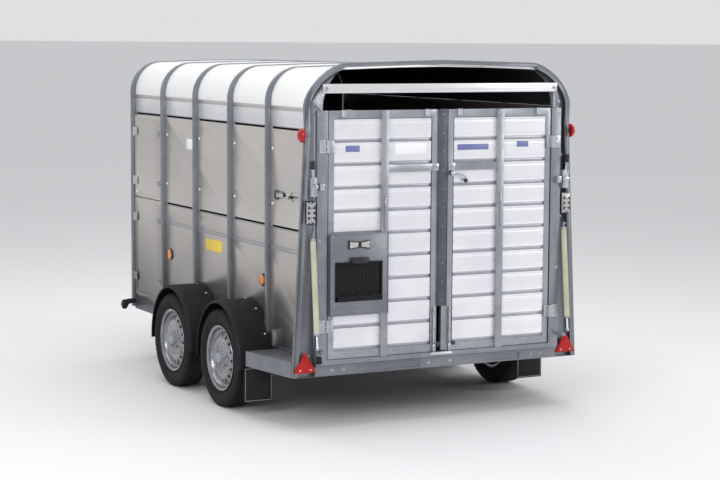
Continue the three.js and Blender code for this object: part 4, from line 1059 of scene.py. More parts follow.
    def markers(self) -> None:
        """Puts the amber round side markers on both sides."""
        rings = Shape()
        lenses = Shape()
        for s in (-1.0, 1.0):
            for y in (self.hoops[3][0].y - 0.085, self.hoops[0][0].y + 0.125):
                place = (s * 0.8966, y, self.marker_height)
                rings.turned([(0.0, 0.0), (0.042, 0.0), (0.042, 0.006), (0.038, 0.009), (0.0, 0.009)],
                             place, (s, 0.0, 0.0), 40)
                lenses.turned([(0.0, 0.004), (0.037, 0.004), (0.037, 0.012), (0.030, 0.016), (0.0, 0.0185)],
                              place, (s, 0.0, 0.0), 40)
        add_piece("side_marker_bases", rings, LAMP_BASE, "trailer")
        add_piece("side_marker_lenses", lenses, AMBER, "trailer")

    def labels(self) -> None:
        """Puts blank labels on the left wall."""
        long, high, z = self.label
        start, end = self.bays()[2]
        middle = (start + end) / 2.0
        x = -0.8966
        yellow = Shape().block((x - 0.0008, middle - long / 2.0, z - high / 2.0),
                               (x + 0.0004, middle + long / 2.0, z + high / 2.0), 0.0003)
        add_piece("yellow_side_label", yellow, LABEL_YELLOW, "trailer")
        start, end = self.bays()[3]
        white = Shape().block((x - 0.0008, start + 0.03, 1.66), (x + 0.0004, start + 0.16, 1.735), 0.0003)
        add_piece("white_side_label", white, LABEL_WHITE, "trailer")

    def corner_lamps(self) -> None:
        """Puts a rubber-armed marker lamp at each front corner."""
        arms = Shape()
        lenses = Shape()
        y = self.hoops[-1][1].y
        for s in (-1.0, 1.0):
            outline = [(s * 0.905, 0.415), (s * 0.905, 0.452), (s * 0.965, 0.447), (s * 1.012, 0.440),
                       (s * 1.012, 0.375), (s * 0.985, 0.372), (s * 0.960, 0.412)]
            arms.prism(outline, "Y", y - 0.045, y - 0.008, 0.006)
            lenses.turned([(0.0, 0.0), (0.026, 0.0), (0.026, 0.006), (0.018, 0.011), (0.0, 0.013)],
                          (s * 0.991, y - 0.0085, 0.407), (0.0, 1.0, 0.0), 28)
        add_piece("corner_lamp_arms", arms, RUBBER, "trailer")
        add_piece("corner_lamp_lenses", lenses, CLEAR_LENS, "trailer")


@dataclass
class SideDoors:
    """The two doors of the front left bay, with their fittings."""

    def build(self) -> None:
        """Builds both doors."""
        for node, body in (("lower_side_door", "side_door_lower"), ("upper_side_door", "side_door_upper")):
            refine(node, PANEL, 0.001)
            low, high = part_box(node)
            self.latches(node, body, low, high)

    def latches(self, node: str, body: str, low: Vector, high: Vector) -> None:
        """Adds paddle latches at the rear edge and screws on the hinge leaves."""
        shape = Shape()
        screws = []
        face = -0.9195
        for share in (0.2, 0.8):
            z = low.z + (high.z - low.z) * share
            y = low.y + 0.032
            shape.block((face - 0.003, y - 0.022, z - 0.020), (face + 0.001, y + 0.026, z + 0.020), 0.0015)
            shape.sweep([(face - 0.003, y - 0.012, z), (face - 0.010, y - 0.010, z + 0.004),
                         (face - 0.013, y + 0.010, z + 0.010), (face - 0.013, y + 0.030, z + 0.022)],
                         0.0045, 10)
            for dy in (-0.040, -0.016):
                for dz in (-0.018, 0.018):
                    screws.append(((-0.9195, high.y - 0.006 + dy, z + dz), (-1.0, 0.0, 0.0)))
        add_piece(node + "_latches", shape, GALVANISED, body)
        REPEAT.fittings(node + "_screws", dome_head(0.0042, 0.002), screws, ZINC_BOLT, body, "bright_metal")


@dataclass
class GateCatch:
    """The catch for the inner gate on the last bay of the left wall."""

    def build(self) -> None:
        """Builds the catch body, its sprung pin and its loop."""
        low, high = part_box("gate_catch_loop")
        middle = (low.z + high.z) / 2.0
        x = (low.x + high.x) / 2.0
        wire = 0.005
        corner = 0.009
        ring = []
        for cy, cz, first in ((high.y - wire - corner, high.z - wire - corner, 0.0),
                              (low.y + wire + corner, high.z - wire - corner, 90.0),
                              (low.y + wire + corner, low.z + wire + corner, 180.0),
                              (high.y - wire - corner, low.z + wire + corner, 270.0)):
            for k in range(7):
                t = math.radians(first + 15.0 * k)
                ring.append((x, cy + corner * math.cos(t), cz + corner * math.sin(t)))
        loop = Shape().sweep(ring, wire, 14, True)
        add_piece("gate_catch_ring", loop, BLACK_METAL, "gate_loop",
                  ["gate_catch_loop"], angle=60.0)
        y = low.y - 0.066
        pin = Shape()
        pin.rod((x + 0.004, y - 0.130, middle), (x + 0.004, y - 0.108, middle), 0.010)
        pin.rod((x + 0.004, y + 0.058, middle), (x + 0.004, y + 0.078, middle), 0.007)
        pin.block((x - 0.012, y - 0.070, middle - 0.004), (x - 0.020, y - 0.040, middle + 0.026), 0.002)
        add_piece("gate_catch_pin", pin, BLACK_METAL, "trailer")
        bolts = [((-0.9018, y + dy, middle + dz), (-1.0, 0.0, 0.0))
                 for dy in (-0.105, 0.105) for dz in (-0.024, 0.024)]
        REPEAT.fittings("gate_catch_bolts", hex_head(0.006, 0.006), bolts, ZINC_BOLT, "trailer",
                        "bright_metal")


# ------------------------------------------------------------------ rear frame and its lamps
@dataclass
class RearFrame:
    """The winged rear frame, its crossmember, lamps and reflectors.

    Attributes:
        lamp_notch: Depth of the notch at the top and bottom of each lamp lens.
        side_lamp: Radius and height of the red side lamps.
    """

    lamp_notch: float = 0.014
    side_lamp: tuple[float, float] = (0.046, 1.860)

    def build(self) -> None:
        """Builds the frame and what it carries."""
        refine("rear_frame", FRAME_ZINC, 0.0014)
        refine("rear_crossmember", FRAME_ZINC, 0.0014)
        for name, s in SIDES:
            self.rear_lamp(name, s)
            self.reflector(name, s)
        self.side_lamps()
        self.bolts()
        self.top_bar()

    def rear_lamp(self, name: str, s: float) -> None:
        """Draws one rear lamp: a black base and a clear faceted lens notched at both ends."""
        low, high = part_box("rear_lamp_" + name)
        middle = (low.x + high.x) / 2.0
        base = Shape().block((low.x, low.y + 0.018, low.z), high, 0.005)
        add_piece(f"rear_lamp_base_{name}", base, LAMP_BASE, "trailer",
                  ["rear_lamp_" + name])
        half = (high.x - low.x) / 2.0 - 0.004
        top, foot = high.z - 0.004, low.z + 0.004
        notch = self.lamp_notch
        outline = [(-half, foot), (0.0, foot + notch), (half, foot), (half, top), (0.0, top - notch),
                   (-half, top)]
        lens = Shape()
        corners = [(middle + x, z) for x, z in outline]
        lens.prism(corners, "Y", low.y + 0.019, low.y + 0.006, 0.002)
        inner = [(middle + x * 0.82, (z - (top + foot) / 2.0) * 0.86 + (top + foot) / 2.0)
                 for x, z in outline]
        lens.prism(inner, "Y", low.y + 0.0065, low.y, 0.0025)
        add_piece(f"rear_lamp_lens_{name}", lens, CLEAR_LENS, "trailer")
        waists = Shape()
        for share in (0.26, 0.50, 0.74):
            height = foot + (top - foot) * share
            for side in (-1.0, 1.0):
                edge = middle + side * half * 0.84
                waists.prism([(edge, height - 0.012), (edge, height + 0.012),
                              (middle + side * half * 0.22, height)],
                             "Y", low.y + 0.001, low.y - 0.0004, 0.0)
        add_piece(f"rear_lamp_waists_{name}", waists, LAMP_BASE, "trailer")
        bands = Shape()
        for z in (0.30, 0.70):
            height = foot + (top - foot) * z
            bands.block((middle - half * 0.8, low.y - 0.0012, height - 0.0014),
                        (middle + half * 0.8, low.y + 0.001, height + 0.0014), 0.0006)
        add_piece(f"rear_lamp_bands_{name}", bands, LAMP_BASE, "trailer")
        screws = [((middle, low.y + 0.012, foot + 0.006), REARWARD),
                  ((middle, low.y + 0.012, top - 0.006), REARWARD)]
        REPEAT.fittings(f"rear_lamp_screws_{name}", dome_head(0.0042, 0.003), screws, WHITE_HEAD, "trailer",
                        "bright_metal")

    def reflector(self, name: str, s: float) -> None:
        """Draws one triangle reflector with its rim, cells and screws."""
        low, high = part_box("triangle_reflector_" + name)
        middle = (low.x + high.x) / 2.0
        side = high.x - low.x
        tall = high.z - low.z
        centre = low.z + tall / 3.0

        def triangle(share: float) -> list[tuple[float, float]]:
            """Gives the triangle's rounded outline at a share of its size."""
            corners = [(-side / 2.0, -tall / 3.0), (side / 2.0, -tall / 3.0), (0.0, tall * 2.0 / 3.0)]
            points = []
            for i, (x, z) in enumerate(corners):
                for other, share_in in ((corners[i - 1], 0.07), (corners[i - 1], 0.03),
                                        (corners[(i + 1) % 3], 0.03), (corners[(i + 1) % 3], 0.07)):
                    px = x + (other[0] - x) * share_in
                    pz = z + (other[1] - z) * share_in
                    points.append((middle + px * share, centre + pz * share))
            return points

        rim = Shape().prism(triangle(1.0), "Y", high.y, low.y + 0.003, 0.0015)
        add_piece(f"reflector_rim_{name}", rim, RED_LENS, "trailer",
                  ["triangle_reflector_" + name])
        cells = Shape().prism(triangle(0.84), "Y", low.y + 0.0035, low.y, 0.001)
        add_piece(f"reflector_cells_{name}", cells, RED, "trailer")
        screws = [((middle + x, low.y, centre + z), REARWARD)
                  for x, z in ((-0.036, -0.026), (0.036, -0.026))]
        REPEAT.fittings(f"reflector_screws_{name}", dome_head(0.0052, 0.003), screws, WHITE_HEAD, "trailer",
                        "bright_metal")

    def side_lamps(self) -> None:
        """Puts a red domed lamp on the outer edge of each wing."""
        radius, z = self.side_lamp
        bases = Shape()
        lenses = Shape()
        for s in (-1.0, 1.0):
            place = (s * 0.975, forward(0.012), z)
            bases.turned([(0.0, -0.004), (0.022, -0.004), (0.022, 0.012), (0.0, 0.012)], place,
                         (s, 0.0, 0.0), 36)
            arc = [(radius * math.cos(t), 0.014 + 0.030 * math.sin(t))
                   for t in (math.pi / 2.0 * k / 10 for k in range(10))]
            lenses.turned([(0.0, 0.010), (radius - 0.002, 0.010), *arc, (0.0, 0.044)], place, (s, 0.0, 0.0),
                          48)
        add_piece("side_lamp_bases", bases, LAMP_BASE, "trailer")
        add_piece("side_lamp_lenses", lenses, RED_LENS, "trailer", angle=50.0)

    def bolts(self) -> None:
        """Puts bolts on the wings, by the arch and on the crossmember."""
        heads = []
        for s in (-1.0, 1.0):
            for x, z in ((0.905, 2.052), (0.905, 1.995), (0.930, 1.700), (0.928, 1.290), (0.940, 0.470)):
                heads.append(((s * x, forward(0.0218), z), REARWARD))
            for x in (0.70, 0.78):
                heads.append(((s * x, forward(0.0), 0.374), REARWARD))
            heads.append(((s * 0.08, forward(0.0), 0.374), REARWARD))
        REPEAT.fittings("rear_frame_bolts", hex_head(0.0075, 0.0055), heads, ZINC_BOLT, "trailer",
                        "bright_metal")
        plate = Shape()
        plate.block((-0.9275, forward(0.560), 0.455), (-0.8975, forward(0.592), 0.560), 0.003)
        plate.block((-0.9215, forward(0.552), 0.470), (-0.8975, forward(0.600), 0.545), 0.002)
        add_piece("tray_bracket", plate, GALVANISED, "trailer")

    def top_bar(self) -> None:
        """Draws the light top bar, its pins and their chains."""
        low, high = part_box("rear_bar")
        face = high.y - 0.016
        bar = Shape()
        bar.block((low.x, face, low.z), (high.x, high.y, high.z), 0.003)
        for z in (low.z + 0.010, (low.z + high.z) / 2.0, high.z - 0.010):
            bar.block((low.x + 0.004, face - 0.0016, z - 0.003), (high.x - 0.004, face + 0.001, z + 0.003),
                      0.001)
        add_piece("top_bar_rail", bar, BRIGHT, "top_bar", ["rear_bar"])
        pins = Shape()
        chain = Shape()
        middle = (low.z + high.z) / 2.0
        for s in (-1.0, 1.0):
            x = s * (high.x - 0.020)
            pins.rod((x, low.y + 0.008, middle), (x, face + 0.001, middle), 0.0055)
            pins.turned([(0.0, 0.0), (0.011, 0.0), (0.011, 0.006), (0.0, 0.006)],
                        (x, low.y + 0.002, middle), (0.0, 1.0, 0.0), 28)
            for k in range(7):
                t = k / 6.0
                centre = Vector((x + s * 0.006 + s * 0.020 * t, face - 0.006, middle - 0.006 - 0.062 * t))
                tilt = k % 2
                ring = []
                for a in range(10):
                    u = 2.0 * math.pi * a / 10
                    wide = 0.0028 * math.cos(u)
                    ring.append(centre + Vector((wide * (1 - tilt), wide * tilt, 0.0062 * math.sin(u))))
                chain.sweep(ring, 0.0011, 6, True)
        add_piece("top_bar_pins", pins, PLATED, "top_bar")
        add_piece("top_bar_chains", chain, PLATED, "top_bar", angle=60.0)


# ------------------------------------------------------------------ ramp
@dataclass
class Ramp:
    """The ramp frame with its latches and balance springs.

    Attributes:
        hinge_heights: Heights of the door hinges.
        leaf_inner: Inner edge of the hinge leaves, from the middle plane.
        latch_x: Place of the latch grips, from the middle plane.
        spring_x: Place of the balance springs, from the middle plane.
        keeper_half: Half width of the drop bolts' keeper plate.
        keeper_foot: Height of that plate's underside.
    """

    hinge_heights: tuple[float, float] = (0.660, 1.790)
    leaf_inner: float = 0.8425
    latch_x: float = 0.940
    spring_x: float = 0.931
    keeper_half: float = 0.085
    keeper_foot: float = 0.4300

    def build(self) -> None:
        """Builds the ramp, its latches and springs."""
        refine("ramp_frame", POST_ZINC, 0.002)
        low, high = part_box("ramp_frame")
        heads = []
        for s in (-1.0, 1.0):
            for z in self.hinge_heights:
                for dz in (-0.026, 0.026):
                    heads.append(((s * 0.866, forward(-0.026), z + dz), REARWARD))
            for z in (0.52, 0.95, 1.20, 1.98):
                heads.append(((s * 0.884, forward(-0.018), z), REARWARD))
        REPEAT.fittings("ramp_bolts", hex_head(0.007, 0.006), heads, ZINC_BOLT, "ramp", "bright_metal")
        keeper = Shape()
        turns = [math.pi * k / 14 for k in range(15)]
        half, foot = self.keeper_half, self.keeper_foot
        arc = [(half * math.cos(t), forward(-0.0265 - 0.026 * math.sin(t))) for t in turns]
        back = forward(-0.0180)
        keeper.prism([*arc, (-half, back), (half, back)], "Z", foot, 0.4345, 0.0008)
        keeper.block((-0.078, forward(-0.0295), foot), (0.078, forward(-0.0262), 0.4415), 0.0008)
        add_piece("bolt_keeper_plate", keeper, BRIGHT, "ramp")
        buffer = Shape().block((-0.905, forward(-0.040), 0.425), (-0.872, forward(-0.0185), 0.470), 0.004)
        add_piece("hinge_buffer", buffer, RUBBER, "ramp")
        leaves = Shape()
        for s in (-1.0, 1.0):
            for z in self.hinge_heights:
                leaves.block((s * self.leaf_inner, forward(-0.0295), z - 0.041),
                             (s * 0.890, forward(-0.0255), z + 0.041), 0.0015)
                leaves.block((s * self.leaf_inner, forward(-0.0345), z - 0.008),
                             (s * 0.862, forward(-0.029), z + 0.008), 0.0015)
            leaves.block((s * 0.862, forward(-0.0475), 1.519), (s * 0.8935, forward(-0.0435), 1.561),
                         0.0015)
        add_piece("ramp_hinge_leaves", leaves, BRIGHT_ZINC, "ramp")
        for name, s in SIDES:
            self.latch(name, s)
            self.spring(name, s)
        LOG.debug("ramp stands from %.3f to %.3f m", low.z, high.z)

    def latch(self, name: str, s: float) -> None:
        """Draws one over-centre latch with its black grip."""
        node = "ramp_latch_" + name
        body = BODY_OF[node]
        refine(node, BRIGHT_ZINC, 0.002)
        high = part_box(node)[1]
        x = s * self.latch_x
        grip = Shape()
        grip.rod((x, forward(-0.034), high.z - 0.058), (x + s * 0.002, forward(-0.036), high.z + 0.001),
                 0.0142, 24, 0.0148, 0.004)
        for k in range(5):
            z = high.z - 0.050 + 0.010 * k
            grip.turned([(0.013, -0.0016), (0.0155, 0.0), (0.013, 0.0016)],
                        (x + s * 0.001, forward(-0.035), z), UP, 24)
        add_piece(f"latch_grip_{name}", grip, KNOB, body)
        hook = Shape()
        hook.block((s * 0.905, forward(-0.048), 1.528), (s * 0.955, forward(-0.039), 1.552), 0.003)
        hook.sweep([(s * 0.948, forward(-0.044), 1.575), (s * 0.925, forward(-0.047), 1.560),
                    (s * 0.914, forward(-0.047), 1.535), (s * 0.922, forward(-0.045), 1.508)], 0.005, 12)
        hook.rod((s * 0.915, forward(-0.0405), 1.495), (s * 0.915, forward(-0.048), 1.495), 0.009, 6)
        hook.rod((s * 0.948, forward(-0.0405), 1.590), (s * 0.948, forward(-0.048), 1.590), 0.009, 6)
        add_piece(f"latch_hook_{name}", hook, PLATED, body)

    def spring(self, name: str, s: float) -> None:
        """Draws one balance spring: a pale sleeve, its end caps, eye and pull rod."""
        low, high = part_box("ramp_spring_" + name)
        x = s * self.spring_x
        top = Vector((x, forward(-0.024), 1.216))
        foot = Vector((x, forward(-0.084), 0.616))
        along = (foot - top).normalized()
        sleeve = Shape()
        steps = [(0.0185, 0.0), (0.0185, (foot - top).length), (0.0165, (foot - top).length)]
        sleeve.turned([(0.0105, 0.004), (0.0175, 0.0), *steps, (0.0105, (foot - top).length - 0.004)], top,
                      tuple(along), 40)
        add_piece(f"spring_sleeve_{name}", sleeve, SLEEVE, "trailer",
                  ["ramp_spring_" + name])
        ends = Shape()
        ends.turned([(0.0, -0.006), (0.012, -0.006), (0.0195, 0.004), (0.0195, 0.014), (0.0, 0.014)], top,
                    tuple(along), 36)
        ends.turned([(0.0085, -0.012), (0.0195, -0.012), (0.0195, 0.001), (0.0085, 0.001)], foot,
                    tuple(along), 36)
        eye = [top + Vector((0.0, 0.006 * math.cos(t), 0.022 + 0.014 * math.sin(t)))
               for t in (2.0 * math.pi * k / 18 for k in range(18))]
        ends.sweep(eye, 0.0036, 10, True)
        ends.rod((x, top.y, top.z + 0.002), (x, top.y, top.z + 0.010), 0.006)
        ends.rod((x, forward(-0.0005), top.z + 0.028), (x, forward(-0.034), top.z + 0.028), 0.0055)
        ends.rod((x, forward(-0.034), top.z + 0.028), (x, forward(-0.038), top.z + 0.028), 0.0095, 6)
        add_piece(f"spring_ends_{name}", ends, GALVANISED, "trailer")
        rod_node = "ramp_spring_rod_" + name
        refine(rod_node, PLATED, 0.0008)
        rod_low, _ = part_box(rod_node)
        hook = Shape()
        eye_centre = Vector((x, rod_low.y + 0.010, rod_low.z + 0.012))
        turn = [eye_centre + Vector((0.0, 0.010 * math.cos(t), 0.010 * math.sin(t)))
                for t in (2.0 * math.pi * k / 18 for k in range(18))]
        hook.sweep(turn, 0.0034, 10, True)
        add_piece(f"spring_hook_{name}", hook, PLATED, BODY_OF[rod_node])
        LOG.debug("spring %s hangs from %.3f to %.3f m", name, high.z, low.z)


# ------------------------------------------------------------------ rear doors
@dataclass
class RearDoors:
    """The two plank-clad doors, with their bolts, lever and plate board.

    Attributes:
        planks: Planks in each stack.
        ledge: How far the set-back strip under each plank lies behind its face.
        bolt_height: Height of the drop bolts' knobs.
        guide_heights: Heights of the two guides on each drop bolt's rod.
    """

    planks: int = 10
    ledge: float = 0.009
    bolt_height: float = 0.505
    guide_heights: tuple[float, float] = (0.585, 0.700)

    def build(self) -> None:
        """Builds both doors."""
        for name, s in SIDES:
            refine(f"{name}_door_frame", GALVANISED, 0.002)
            self.plank_stack(name)
            self.fittings(name, s)
            self.drop_bolt(name, s)
        self.centre_strip()
        self.labels()
        self.lever()
        PlateBoard().build()

    def plank_stack(self, name: str) -> None:
        """Draws the planks of one door: a bright face, its ledge and fine pressed lines, with strips of
        painted shade on each ledge and under each lip.
        """
        low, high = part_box(f"{name}_door_planks")
        pitch = (high.z - low.z) / self.planks
        face = low.y
        back = high.y
        z = low.z
        lines = [(0.185, 0.0), (0.20, 0.0009), (0.215, 0.0), (0.30, 0.0), (0.31, 0.0007), (0.32, 0.0)]
        profile = [(back, z), (face + self.ledge, z), (face + self.ledge, z + pitch * 0.085),
                   (face + self.ledge * 0.55, z + pitch * 0.105), (face + 0.0012, z + pitch * 0.145),
                   (face, z + pitch * 0.165)]
        profile += [(face + deep, z + pitch * share) for share, deep in lines]
        profile += [(face + deep, z + pitch * (1.05 - share)) for share, deep in reversed(lines)]
        profile += [(face, z + pitch * 0.955), (face + 0.002, z + pitch * 0.985),
                    (face + 0.004, z + pitch * 0.9992), (back, z + pitch * 0.9992)]
        plank = Shape().prism(profile, "X", low.x, high.x).mesh("plank", 24.0)
        stack = REPEAT.run(REPEAT.row, plank, PLANK, Count=self.planks, Pitch=(0.0, 0.0, pitch))
        add_piece(f"{name}_door_cladding", stack, PLANK, f"{name}_door",
                  [f"{name}_door_planks"])
        # Strips of painted shade: one on each ledge and one under each plank's lip.
        for label, share, finish, y in (("ledge_strips", (0.004, 0.092), LEDGE_SHADE, face + self.ledge),
                                        ("lip_shadows", (0.972, 0.9985), LIP_SHADOW, face + 0.0016)):
            strip = Shape().block((low.x, y - 0.0005, z + pitch * share[0]),
                                  (high.x, y + 0.002, z + pitch * share[1]))
            row = REPEAT.run(REPEAT.row, strip.mesh("strip"), finish, Count=self.planks,
                             Pitch=(0.0, 0.0, pitch))
            add_piece(f"{name}_{label}", row, finish, f"{name}_door")

    def fittings(self, name: str, s: float) -> None:
        """Adds hinge screws, plank rivets, tube caps and the thin hold-back rod of one door."""
        body = f"{name}_door"
        frame_low, frame_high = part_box(f"{name}_door_frame")
        low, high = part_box(f"{name}_door_planks")
        pitch = (high.z - low.z) / self.planks
        rivets = []
        for i in range(self.planks):
            z = low.z + pitch * (i + 0.55)
            for x in (0.088, 0.392, 0.462, 0.774):
                rivets.append(((s * x, low.y, z), REARWARD))
        REPEAT.fittings(f"{name}_plank_rivets", dome_head(0.0038, 0.0016), rivets, ZINC_BOLT, body,
                        "bright_metal")
        bolts = []
        for z in (0.660, 1.790):
            for dz in (-0.024, 0.024):
                bolts.append(((s * 0.806, forward(-0.022), z + dz), REARWARD))
        for z in (0.52, 1.43, 1.98):
            bolts.append(((s * 0.427, forward(-0.032), z), REARWARD))
        REPEAT.fittings(f"{name}_door_bolts", hex_head(0.0062, 0.005), bolts, ZINC_BOLT, body,
                        "bright_metal")
        shape = Shape()
        y = forward(-0.040)
        x = s * 0.427
        shape.sweep([(x, forward(-0.032), 1.452), (x, y, 1.450), (x + 0.002, y, 1.40), (x + 0.001, y, 1.30),
                     (x + 0.002, y, 1.262), (x + 0.010, y - 0.002, 1.248), (x + 0.018, y, 1.258)], 0.0032,
                     10)
        shape.rod((x, forward(-0.032), 1.452), (x, y - 0.003, 1.452), 0.007)
        add_piece(f"{name}_hold_back_rod", shape, PLATED, body, angle=60.0)
        hinges = Shape()
        for z in (0.660, 1.790):
            hinges.block((s * 0.786, forward(-0.0265), z - 0.037), (s * 0.824, forward(-0.0215), z + 0.037),
                         0.0015)
            for k in (-1.0, 0.0, 1.0):
                hinges.turned([(0.0, -0.0125), (0.0098, -0.0125), (0.0098, 0.0125), (0.0, 0.0125)],
                              (s * 0.832, forward(-0.032), z + k * 0.0268), UP, 24)
        for distance in (0.120, 0.720):
            hinges.turned([(0.0155, -0.040), (0.0178, -0.040), (0.0178, 0.0), (0.0155, 0.0)],
                          (s * distance, forward(-0.020), frame_high.z - 0.003), UP, 30)
        add_piece(f"{name}_hinge_leaves", hinges, BRIGHT_ZINC, body)
        caps = Shape()
        for distance in (0.120, 0.720):
            caps.turned([(0.0098, 0.0), (0.0158, 0.0), (0.0158, 0.005), (0.0098, 0.005)],
                        (s * distance, forward(-0.020), frame_high.z - 0.004), UP, 30)
            caps.dome((s * distance, forward(-0.020), frame_high.z - 0.003), 0.0099, 0.003, UP, 24)
        add_piece(f"{name}_tube_caps", caps, BLACK_METAL, body)
        # Dark strips at both side edges of the planks: painted shade in the gaps to the frame.
        gap_shade_strips = Shape()
        for a, b in ((0.0795, 0.0845), (0.782, 0.787)):
            gap_shade_strips.block((s * a, low.y - 0.0006, low.z), (s * b, low.y + 0.002, high.z), 0.0004)
        add_piece(f"{name}_door_seal", gap_shade_strips, DARK_GAP, body)
        LOG.debug("%s door frame is %.3f m wide", name, frame_high.x - frame_low.x)

    def drop_bolt(self, name: str, s: float) -> None:
        """Draws one drop bolt with its guides and ball knob."""
        node = f"door_bolt_{name}"
        body = BODY_OF[node]
        low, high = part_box(node)
        x = (low.x + high.x) / 2.0
        y = high.y - 0.007
        wire = Shape()
        wire.rod((x, y, low.z), (x, y, low.z + 0.05), 0.0068, 20, edge=0.003)
        wire.sweep([(x, y, low.z + 0.03), (x, y, high.z - 0.030), (x, y, high.z - 0.004)], 0.0062, 14)
        wire.rod((x, y, self.bolt_height), (x, y - 0.045, self.bolt_height), 0.0060, 16)
        add_piece(f"drop_bolt_rod_{name}", wire, PLATED, body, [node], angle=50.0)
        knob = Shape()
        ball = [(0.015 * math.sin(t), -0.015 * math.cos(t))
                for t in (math.pi * k / 12 for k in range(1, 12))]
        knob.turned([(0.0, -0.015), *ball, (0.0, 0.015)], (x, low.y + 0.0155, self.bolt_height),
                    (0.0, 1.0, 0.0), 28)
        add_piece(f"drop_bolt_knob_{name}", knob, KNOB, body, angle=60.0)
        guides = Shape()
        for z in self.guide_heights:
            guides.turned([(0.0082, -0.011), (0.0125, -0.011), (0.0125, 0.011), (0.0082, 0.011)], (x, y, z),
                          UP, 26)
            guides.block((x - 0.015, forward(-0.0142), z - 0.012), (x + 0.015, forward(-0.0115), z + 0.012),
                         0.0008)
        add_piece(f"bolt_guides_{name}", guides, GALVANISED, f"{name}_door")

    def labels(self) -> None:
        """Puts blank stickers on the second planks from the top."""
        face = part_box("right_door_planks")[0].y
        for name, finish, x0, x1, z0, z1 in (("left_blue", LABEL_BLUE, -0.700, -0.600, 1.752, 1.792),
                                             ("left_white", LABEL_WHITE, -0.345, -0.120, 1.730, 1.800),
                                             ("right_blue", LABEL_BLUE, 0.110, 0.345, 1.748, 1.786),
                                             ("right_small", LABEL_BLUE, 0.560, 0.650, 1.760, 1.798)):
            sticker = Shape().block((x0, face - 0.0006, z0), (x1, face + 0.0006, z1), 0.0003)
            add_piece(f"door_sticker_{name}", sticker, finish, f"{name.split('_')[0]}_door")

    def centre_strip(self) -> None:
        """Darkens the strip that covers the joint between the doors."""
        low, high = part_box("right_door_frame")
        strip = Shape()
        strip.block((-0.0320, forward(-0.0232), 0.742), (0.0355, forward(-0.0210), high.z - 0.003), 0.001)
        for x in (-0.0300, 0.0325):
            strip.block((x - 0.0018, forward(-0.0252), 0.744),
                        (x + 0.0018, forward(-0.0228), high.z - 0.004), 0.0008)
        add_piece("centre_cover_strip", strip, DARK_ZINC, "right_door")
        rivets = [((0.0015, forward(-0.0232), 0.78 + 0.12 * k), REARWARD) for k in range(11)]
        REPEAT.fittings("centre_strip_rivets", dome_head(0.004, 0.0018), rivets, ZINC_BOLT, "right_door",
                        "bright_metal")
        LOG.debug("centre strip starts %.3f m above the door's foot", 0.742 - low.z)

    def lever(self) -> None:
        """Draws the latch lever, its boss and black ball, and the fixed plate behind it."""
        low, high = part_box("door_latch_lever")
        boss_x = 0.060
        boss_z = 1.600
        y = (low.y + high.y) / 2.0 + 0.001
        arm = Shape()
        arm.rod((boss_x, high.y, boss_z), (boss_x, low.y, boss_z), 0.0155, 28, edge=0.003)
        arm.sweep([(boss_x, y, boss_z), (boss_x + 0.04, y - 0.002, boss_z - 0.003),
                   (boss_x + 0.085, y - 0.002, boss_z - 0.010), (boss_x + 0.101, y - 0.001, boss_z - 0.020),
                   (boss_x + 0.104, y, boss_z - 0.040)], 0.0062, 14)
        add_piece("latch_lever_arm", arm, PLATED, "door_lever",
                  ["door_latch_lever"], angle=50.0)
        ball = [(0.0148 * math.sin(t), -0.0148 * math.cos(t))
                for t in (math.pi * k / 12 for k in range(1, 12))]
        knob = Shape().turned([(0.0, -0.0148), *ball, (0.0, 0.0148)], (boss_x + 0.104, y, boss_z - 0.048),
                              UP, 28)
        add_piece("latch_lever_ball", knob, KNOB, "door_lever", angle=60.0)
        plate = Shape().block((0.040, forward(-0.0285), 1.618), (0.085, forward(-0.0255), 1.668), 0.0012)
        plate.block((-0.080, forward(-0.0285), 1.622), (-0.036, forward(-0.0255), 1.664), 0.0012)
        add_piece("latch_plate", plate, PLATED, "right_door")


